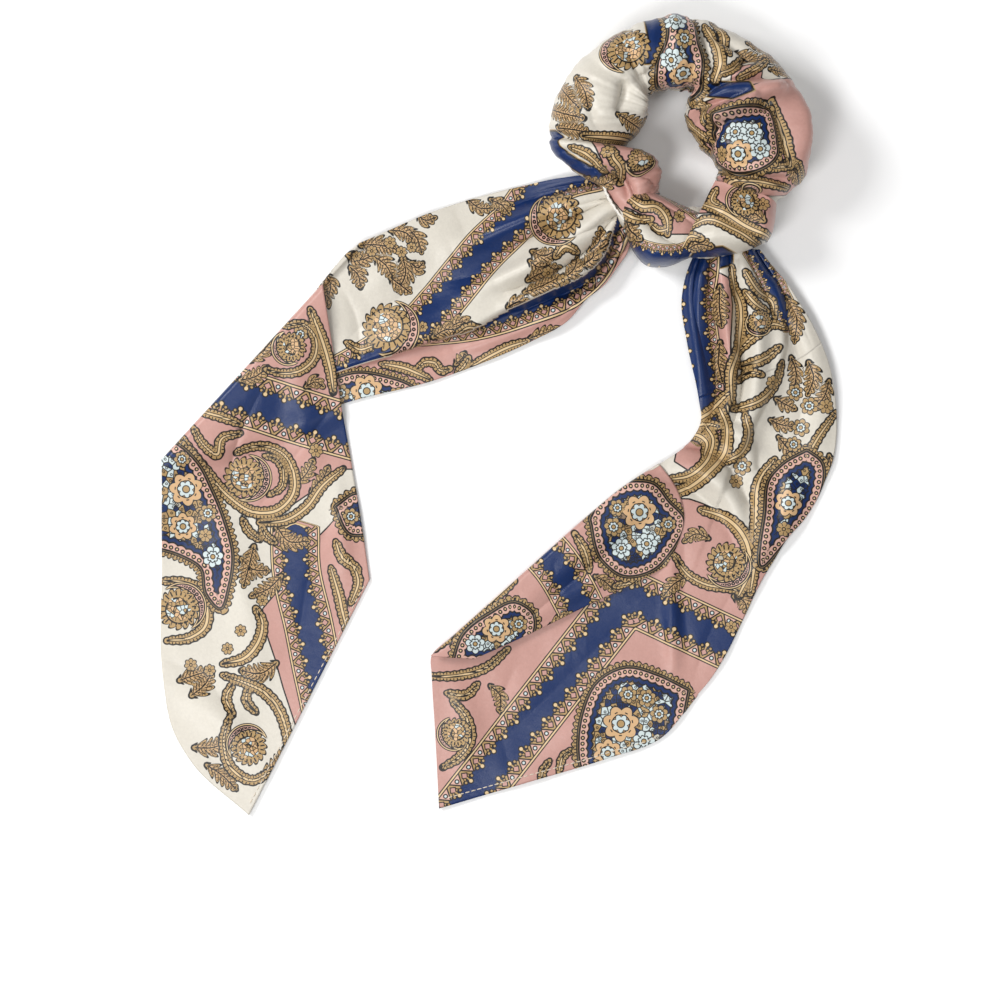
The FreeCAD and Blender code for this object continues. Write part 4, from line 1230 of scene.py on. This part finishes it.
def make_casing():
    """The satin casing: a tube spun round the elastic and gathered into puffs."""
    mesh = bmesh.new()
    ring = bmesh.ops.create_circle(mesh, segments=132, radius=1.0)
    bmesh.ops.rotate(mesh, verts=ring["verts"], cent=(0, 0, 0),
                     matrix=Matrix.Rotation(math.pi / 2, 3, "X"))
    bmesh.ops.translate(mesh, verts=ring["verts"], vec=(3, 0, 0))
    bmesh.ops.spin(mesh, geom=mesh.verts[:] + mesh.edges[:], cent=(0, 0, 0), axis=(0, 0, 1),
                   angle=TURN, steps=330, use_merge=True, use_duplicate=False)
    bmesh.ops.remove_doubles(mesh, verts=mesh.verts[:], dist=1e-5)
    start = np.array([v.co[:] for v in mesh.verts])
    share = (np.arctan2(start[:, 1], start[:, 0]) / TURN) % 1.0
    angle = np.arctan2(start[:, 2], np.hypot(start[:, 0], start[:, 1]) - 3)
    stations = casing_line(share)
    centre, half = stations[:, :2], stations[:, 2:4]
    wide = np.linalg.norm(half, axis=1)
    lean = np.pi / 2 - angle
    lean = np.where(lean > np.pi, lean - TURN, lean)
    layout = centre + half * lean[:, None]
    folds = [(kind, tall, width * 1.2, unroll(points)) for kind, tall, width, points in RING_FOLDS]
    rise = fold_heights(layout, folds, 1.5)
    inner = 0.5 - 0.5 * np.cos(angle)
    drift = 0.9 * np.sin(2 * angle + 1.3) + 0.5 * np.sin(3 * angle + share * 40)
    gathers = 0.9 * np.sin(share * TURN * 23 + drift * 1.4)
    gathers += 0.6 * np.sin(share * TURN * 41 + drift * 2.3 + 1)
    gathers += 0.35 * np.sin(share * TURN * 77 + 3.1 * np.sin(angle + share * 9))
    pinched = ease((wide.max() - wide) / 12)
    rise += gathers * (0.5 + 0.1 * inner + 0.5 * pinched) * 0.3
    outward = half / wide[:, None]
    across = wide + rise
    tall = stations[:, 5] + rise
    round_side = np.cos(angle)
    plan = centre + outward * (across * round_side)[:, None]
    level = stations[:, 4] + tall * np.sign(np.sin(angle)) * np.abs(np.sin(angle)) ** 0.92
    level = np.maximum(level, 0.6)
    move_to(mesh, np.column_stack([plan, level]))
    casing = finish_mesh(mesh, "ring_casing", outward=True)
    thicken(casing, "casing cloth", 0.5, offset=-1)
    return casing, layout


def make_elastic():
    """The flat elastic loop inside the casing, with its ends lapped and sewn."""
    mesh = bmesh.new()
    bmesh.ops.create_grid(mesh, x_segments=260, y_segments=10, size=0.5)
    grid = np.array([v.co[:2] for v in mesh.verts])
    turn = grid[:, 0] * (TURN + 0.22) - math.pi / 2
    centre, size = node_middle("elastic_band")
    reach = size / 2 - 0.6
    lap = np.where(grid[:, 0] > 0.44, ease((grid[:, 0] - 0.44) / 0.03) * 0.9, 0)
    ripple = 0.25 * np.sin(turn * 90) * np.abs(grid[:, 1] * 2) ** 2
    x = centre[0] + (reach[0] - lap + ripple) * np.cos(turn)
    y = centre[1] + (reach[1] - lap + ripple) * np.sin(turn)
    z = centre[2] + grid[:, 1] * 2 * (reach[2] + 0.5)
    move_to(mesh, np.column_stack([x, y, z]))
    elastic = finish_mesh(mesh, "elastic_loop")
    thicken(elastic, "elastic thickness", 0.8)
    keep_field(elastic, "layout", turn * 35, z)
    return elastic


# ---------------------------------------------------------------- the knot

BAND_FOLDS = [("furrow", 1.2, 1.2, [(82, 84), (92, 76), (106, 70)]),
              ("ridge", 1.2, 3.0, [(86, 88), (98, 82), (108, 78)]),
              ("ridge", 1.2, 3.0, [(76, 70), (88, 72), (100, 68)])]
STRAND_FOLDS = [("furrow", 2.4, 1.3, [(47, 84), (56, 78), (66, 70), (76, 66)]),
                ("ridge", 1.8, 3.0, [(50, 88), (60, 82), (72, 76)]),
                ("furrow", 1.8, 1.2, [(52, 90), (62, 85), (74, 78), (80, 74)]),
                ("furrow", 1.6, 1.2, [(50, 79), (56, 70), (62, 64)])]


def rolled(first, second):
    """1 on a roll's crown and 0 at its two edges, each a share from 0 at the edge to 1."""
    return np.sqrt(1 - (1 - first) ** 2) * np.sqrt(1 - (1 - second) ** 2)


def band_place(u, v):
    """The knot's over band: it lies over the ring and tucks in along its right and lower sides."""
    layout = spread(through([(70.5, 63.0), (83, 62.6), (97, 65), (108, 69)]),
                    through([(85.5, 93.5), (96, 91), (104, 88), (111, 84)]),
                    through([(70.5, 63.0), (77, 76.5), (85.5, 93.5)]),
                    through([(108, 69), (110, 76), (111, 84)]))(u, v)
    curl = rolled(np.clip(v * 26 / 8, 0, 1), np.clip((1 - u) * 30 / 6, 0, 1))
    level = 9 + (19.5 - 5.0 * ease((v - 0.5) / 0.5) - 3.0 * ease((0.3 - u) / 0.3)) * curl
    level += fold_heights(layout, BAND_FOLDS) * curl
    pull = (1 - curl) * 1.2
    x = layout[:, 0] - pull * ease((u - 0.7) / 0.3)
    y = layout[:, 1] + pull * ease((0.3 - v) / 0.3)
    return np.column_stack([x, y, level]), layout


def strand_place(u, v):
    """The knot's under strand: a gathered strip from the pinch to below the over band."""
    layout = spread(through([(44.5, 86), (47.5, 80.5), (50.6, 73.5), (54, 66), (59, 60.8), (66, 60.4),
                             (76, 64)]),
                    through([(53, 93), (60, 89.8), (68.2, 86.4), (76, 83), (86, 80)]),
                    straight((44.5, 86), (53, 93)), straight((76, 64), (86, 80)))(u, v)
    across = 8 + 12 * ease(u / 0.4)
    curl = rolled(np.clip(v * across * 1.4 / 6, 0, 1), np.clip((1 - v) * across * 1.4 / 6, 0, 1))
    crown = 8 + 9 * ease(u / 0.25) - 1.5 * ease((u - 0.6) / 0.4)
    level = 7 + crown * curl + fold_heights(layout, STRAND_FOLDS) * curl
    return np.column_stack([layout, level]), layout


BAND_DESIGN = {
    "pink": [[(82, 96), (78, 80), (90, 80), (106, 70), (112, 70), (114, 92)]],
    "blue": [[(74, 60), (78, 66), (88, 67), (96, 63), (96, 58)]],
    "scrolls": [(2.0, (79, 84), (88, 80.5), (98, 74.5), (108, 70.5)),
                (1.6, (74, 74), (82, 77.5), (92, 73.5), (104, 67)),
                (1.5, (72, 66), (75, 71), (80, 70)), (1.4, (86, 90), (84, 85), (88, 82.4))],
    "leaves": [(2.6, (73, 65), (78, 68), (84, 67)), (3.4, (104, 77), (100, 80), (95, 80))],
    "heads": [(97, 84.4, 5.4)],
    "blooms": [(104, 83.5, 2.6)],
}
STRAND_DESIGN = {
    "pink": [[(40, 98), (56, 98), (84, 82), (80, 72), (66, 72), (58, 79), (48, 84)]],
    "blue": [[(52, 72), (56, 67), (70, 66), (72, 58), (52, 56)]],
    "stripes": [([(58, 99.4), (62, 96.5), (84, 80.5), (90, 76)], 0.6),
                ([(46, 70), (58, 63.5), (66, 62), (80, 65)], 0.55)],
    "scrolls": [(1.8, (51, 87), (56, 83), (62, 82.5), (66, 78), (66.5, 72)),
                (1.6, (48, 82), (54, 78), (60, 78)), (1.4, (60, 76), (63, 73.5), (67, 74))],
    "leaves": [(2.6, (50, 80), (52, 74), (56, 70)), (2.2, (52, 90), (56, 87), (57, 82))],
    "blooms": [(71, 79, 2.2)],
}


# ---------------------------------------------------------------- sewing

def stitch_row(name, places, runs, long=2.0, radius=0.24):
    """Short thread stitches: small round-ended pieces, each along its own run."""
    mesh = bmesh.new()
    for place, run in zip(places, runs):
        made = bmesh.ops.create_uvsphere(mesh, u_segments=8, v_segments=6, radius=1.0)["verts"]
        turn = Vector((0, 0, 1)).rotation_difference(Vector(run)).to_matrix()
        bmesh.ops.scale(mesh, verts=made, vec=(radius * MM, radius * MM, long / 2 * MM))
        bmesh.ops.rotate(mesh, verts=made, cent=(0, 0, 0), matrix=turn)
        bmesh.ops.translate(mesh, verts=made, vec=Vector(place) * MM)
    return finish_mesh(mesh, name, outward=True)


def row_on_cloth(place, count, last):
    """Stitch places and runs just above a cloth, in a row beside its cut end."""
    shape, _ = place(np.full(count, 0.988), np.linspace(0.02, last, count))
    run = np.gradient(shape, axis=0)
    return shape[1:-1] + (0, 0, 0.45), run[1:-1]


# ---------------------------------------------------------------- stage

def make_camera():
    data = bpy.data.cameras.new("overhead")
    data.sensor_width = 36.0
    data.lens = 134.1
    data.clip_end = 20.0
    camera = bpy.data.objects.new("overhead", data)
    camera.location = (0.0, -0.0334, 1.5)
    bpy.context.scene.collection.objects.link(camera)
    bpy.context.scene.camera = camera


def make_stage():
    mesh = bmesh.new()
    bmesh.ops.create_grid(mesh, x_segments=1, y_segments=1, size=2.0)
    floor = finish_mesh(mesh, "floor")
    floor.data.materials.append(paper_floor("pale paper"))
    for name, place, size, power in (
            ("key softbox", (-0.95, 0.50, 0.95), 0.45, 13.0),
            ("fill softbox", (0.9, -0.6, 1.2), 0.7, 2.5),
            ("front softbox", (-0.60, -0.65, 1.45), 0.55, 13.0),
            ("top softbox", (0.1, 0.2, 1.9), 0.5, 4.0)):
        data = bpy.data.lights.new(name, "AREA")
        data.size = size
        data.energy = power
        light = bpy.data.objects.new(name, data)
        light.location = place
        light.rotation_mode = "QUATERNION"
        light.rotation_quaternion = (-Vector(place)).to_track_quat("-Z", "Y")
        bpy.context.scene.collection.objects.link(light)
    world = bpy.data.worlds.new("studio")
    world.use_nodes = True
    backdrop = world.node_tree.nodes["Background"]
    backdrop.inputs["Color"].default_value = (1, 1, 1, 1)
    backdrop.inputs["Strength"].default_value = 0.30
    bpy.context.scene.world = world
    bpy.context.scene.view_settings.view_transform = "Standard"


# ---------------------------------------------------------------- making

make_camera()
make_stage()

scarf_satin = printed_satin("printed scarf satin")
casing_satin = printed_satin("printed casing satin")
elastic_finish = woven_elastic("braided elastic")
thread_finish = sewing_thread("sewing thread")


def dress(piece, finish, slot, *nodes):
    piece.data.materials.append(finish)
    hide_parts(*nodes)
    return piece


def printed_cloth(name, rows, columns, place, design, *nodes, parting=None, beyond=None):
    """One stretch of the scarf: laid in its folds, printed and finished."""
    piece, layout = make_cloth(name, rows, columns, place)
    print_on(piece, layout, design, parting, beyond)
    return dress(piece, scarf_satin, "scarf_satin", *nodes)


def even(count, first=0.0):
    """Even shares up to 1."""
    return np.linspace(first, 1, count)


casing, casing_layout = make_casing()
print_on(casing, casing_layout, unroll_design(RING_DESIGN))
dress(casing, casing_satin, "casing_satin", "ring_casing_lower", "ring_casing_upper")
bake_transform(casing)

elastic = make_elastic()
dress(elastic, elastic_finish, "elastic", "elastic_band")
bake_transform(elastic)

strand = printed_cloth("knot_strand", even(80), even(60), strand_place, STRAND_DESIGN,
                       "knot_under_strand")
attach(strand, "ring_base")

band = printed_cloth("knot_band", even(80), even(70), band_place, BAND_DESIGN,
                     "knot_over_band")
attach(band, "ring_base")

left_columns = even(116)
left_tail = printed_cloth("left_tail", shares(230, fine_end=True, span=170), left_columns,
                          left_tail_place, LEFT_DESIGN, "left_tail_root", "left_tail_upper",
                          parting=LEFT_OVERLAP, beyond=LEFT_LOWER_DESIGN)
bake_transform(left_tail)

left_end = printed_cloth("left_end", shares(190, fine_start=True, span=140), left_columns,
                         left_end_place, LEFT_END_DESIGN, "left_tail_lower")
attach(left_end, "left_lower")

# The right tail is one run of rows, parted at one of them; its columns are close at the fold.
right_rows = even(300)
part_row = 66
right_columns = np.concatenate([[0, 0.0006, 0.002, 0.0045, 0.008, 0.0125, 0.0185], even(124, first=0.026)])
right_top = printed_cloth("right_tail_top", right_rows[:part_row + 1], right_columns,
                          right_tail_place, RIGHT_DESIGN, "right_tail_root", "right_tail_upper")
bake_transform(right_top)

right_end = printed_cloth("right_tail_end", right_rows[part_row:], right_columns,
                          right_tail_place, RIGHT_DESIGN, "right_tail_lower")
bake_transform(right_end)

flap_columns = np.concatenate([[0, 0.002, 0.006, 0.013, 0.023, 0.036], even(54, first=0.052)])
flap = printed_cloth("right_flap", even(150), flap_columns, flap_place, FLAP_DESIGN,
                     "right_tail_flap")
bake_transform(flap)

left_stitches = stitch_row("left_end_thread", *row_on_cloth(left_end_place, 36, 0.98))
dress(left_stitches, thread_finish, "thread", "left_end_stitches")
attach(left_stitches, "left_lower")

right_stitches = stitch_row("right_end_thread", *row_on_cloth(right_tail_place, 38, 0.80))
dress(right_stitches, thread_finish, "thread", "right_end_stitches")
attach(right_stitches, "right_lower")


middle, size = node_middle("elastic_join_stitches")
zig = [(middle[0] + (i - 4.5) * size[0] / 10, middle[1], middle[2]) for i in range(10)]
zig_runs = [(0.6, 0, 1 if i % 2 else -1) for i in range(10)]
join_stitches = stitch_row("elastic_join_thread", zig, zig_runs, long=size[2] * 0.95, radius=0.18)
dress(join_stitches, thread_finish, "thread", "elastic_join_stitches")
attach(join_stitches, "ring_base")

middle, size = node_middle("ring_closing_stitches")
closing = [(middle[0], middle[1], middle[2] + (i - 1.5) * size[2] / 4) for i in range(4)]
closing_runs = [(size[0], size[1], 0.3)] * 4
closing_stitches = stitch_row("ring_closing_thread", closing, closing_runs, long=2.2, radius=0.2)
dress(closing_stitches, thread_finish, "thread", "ring_closing_stitches")
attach(closing_stitches, "ring_base")
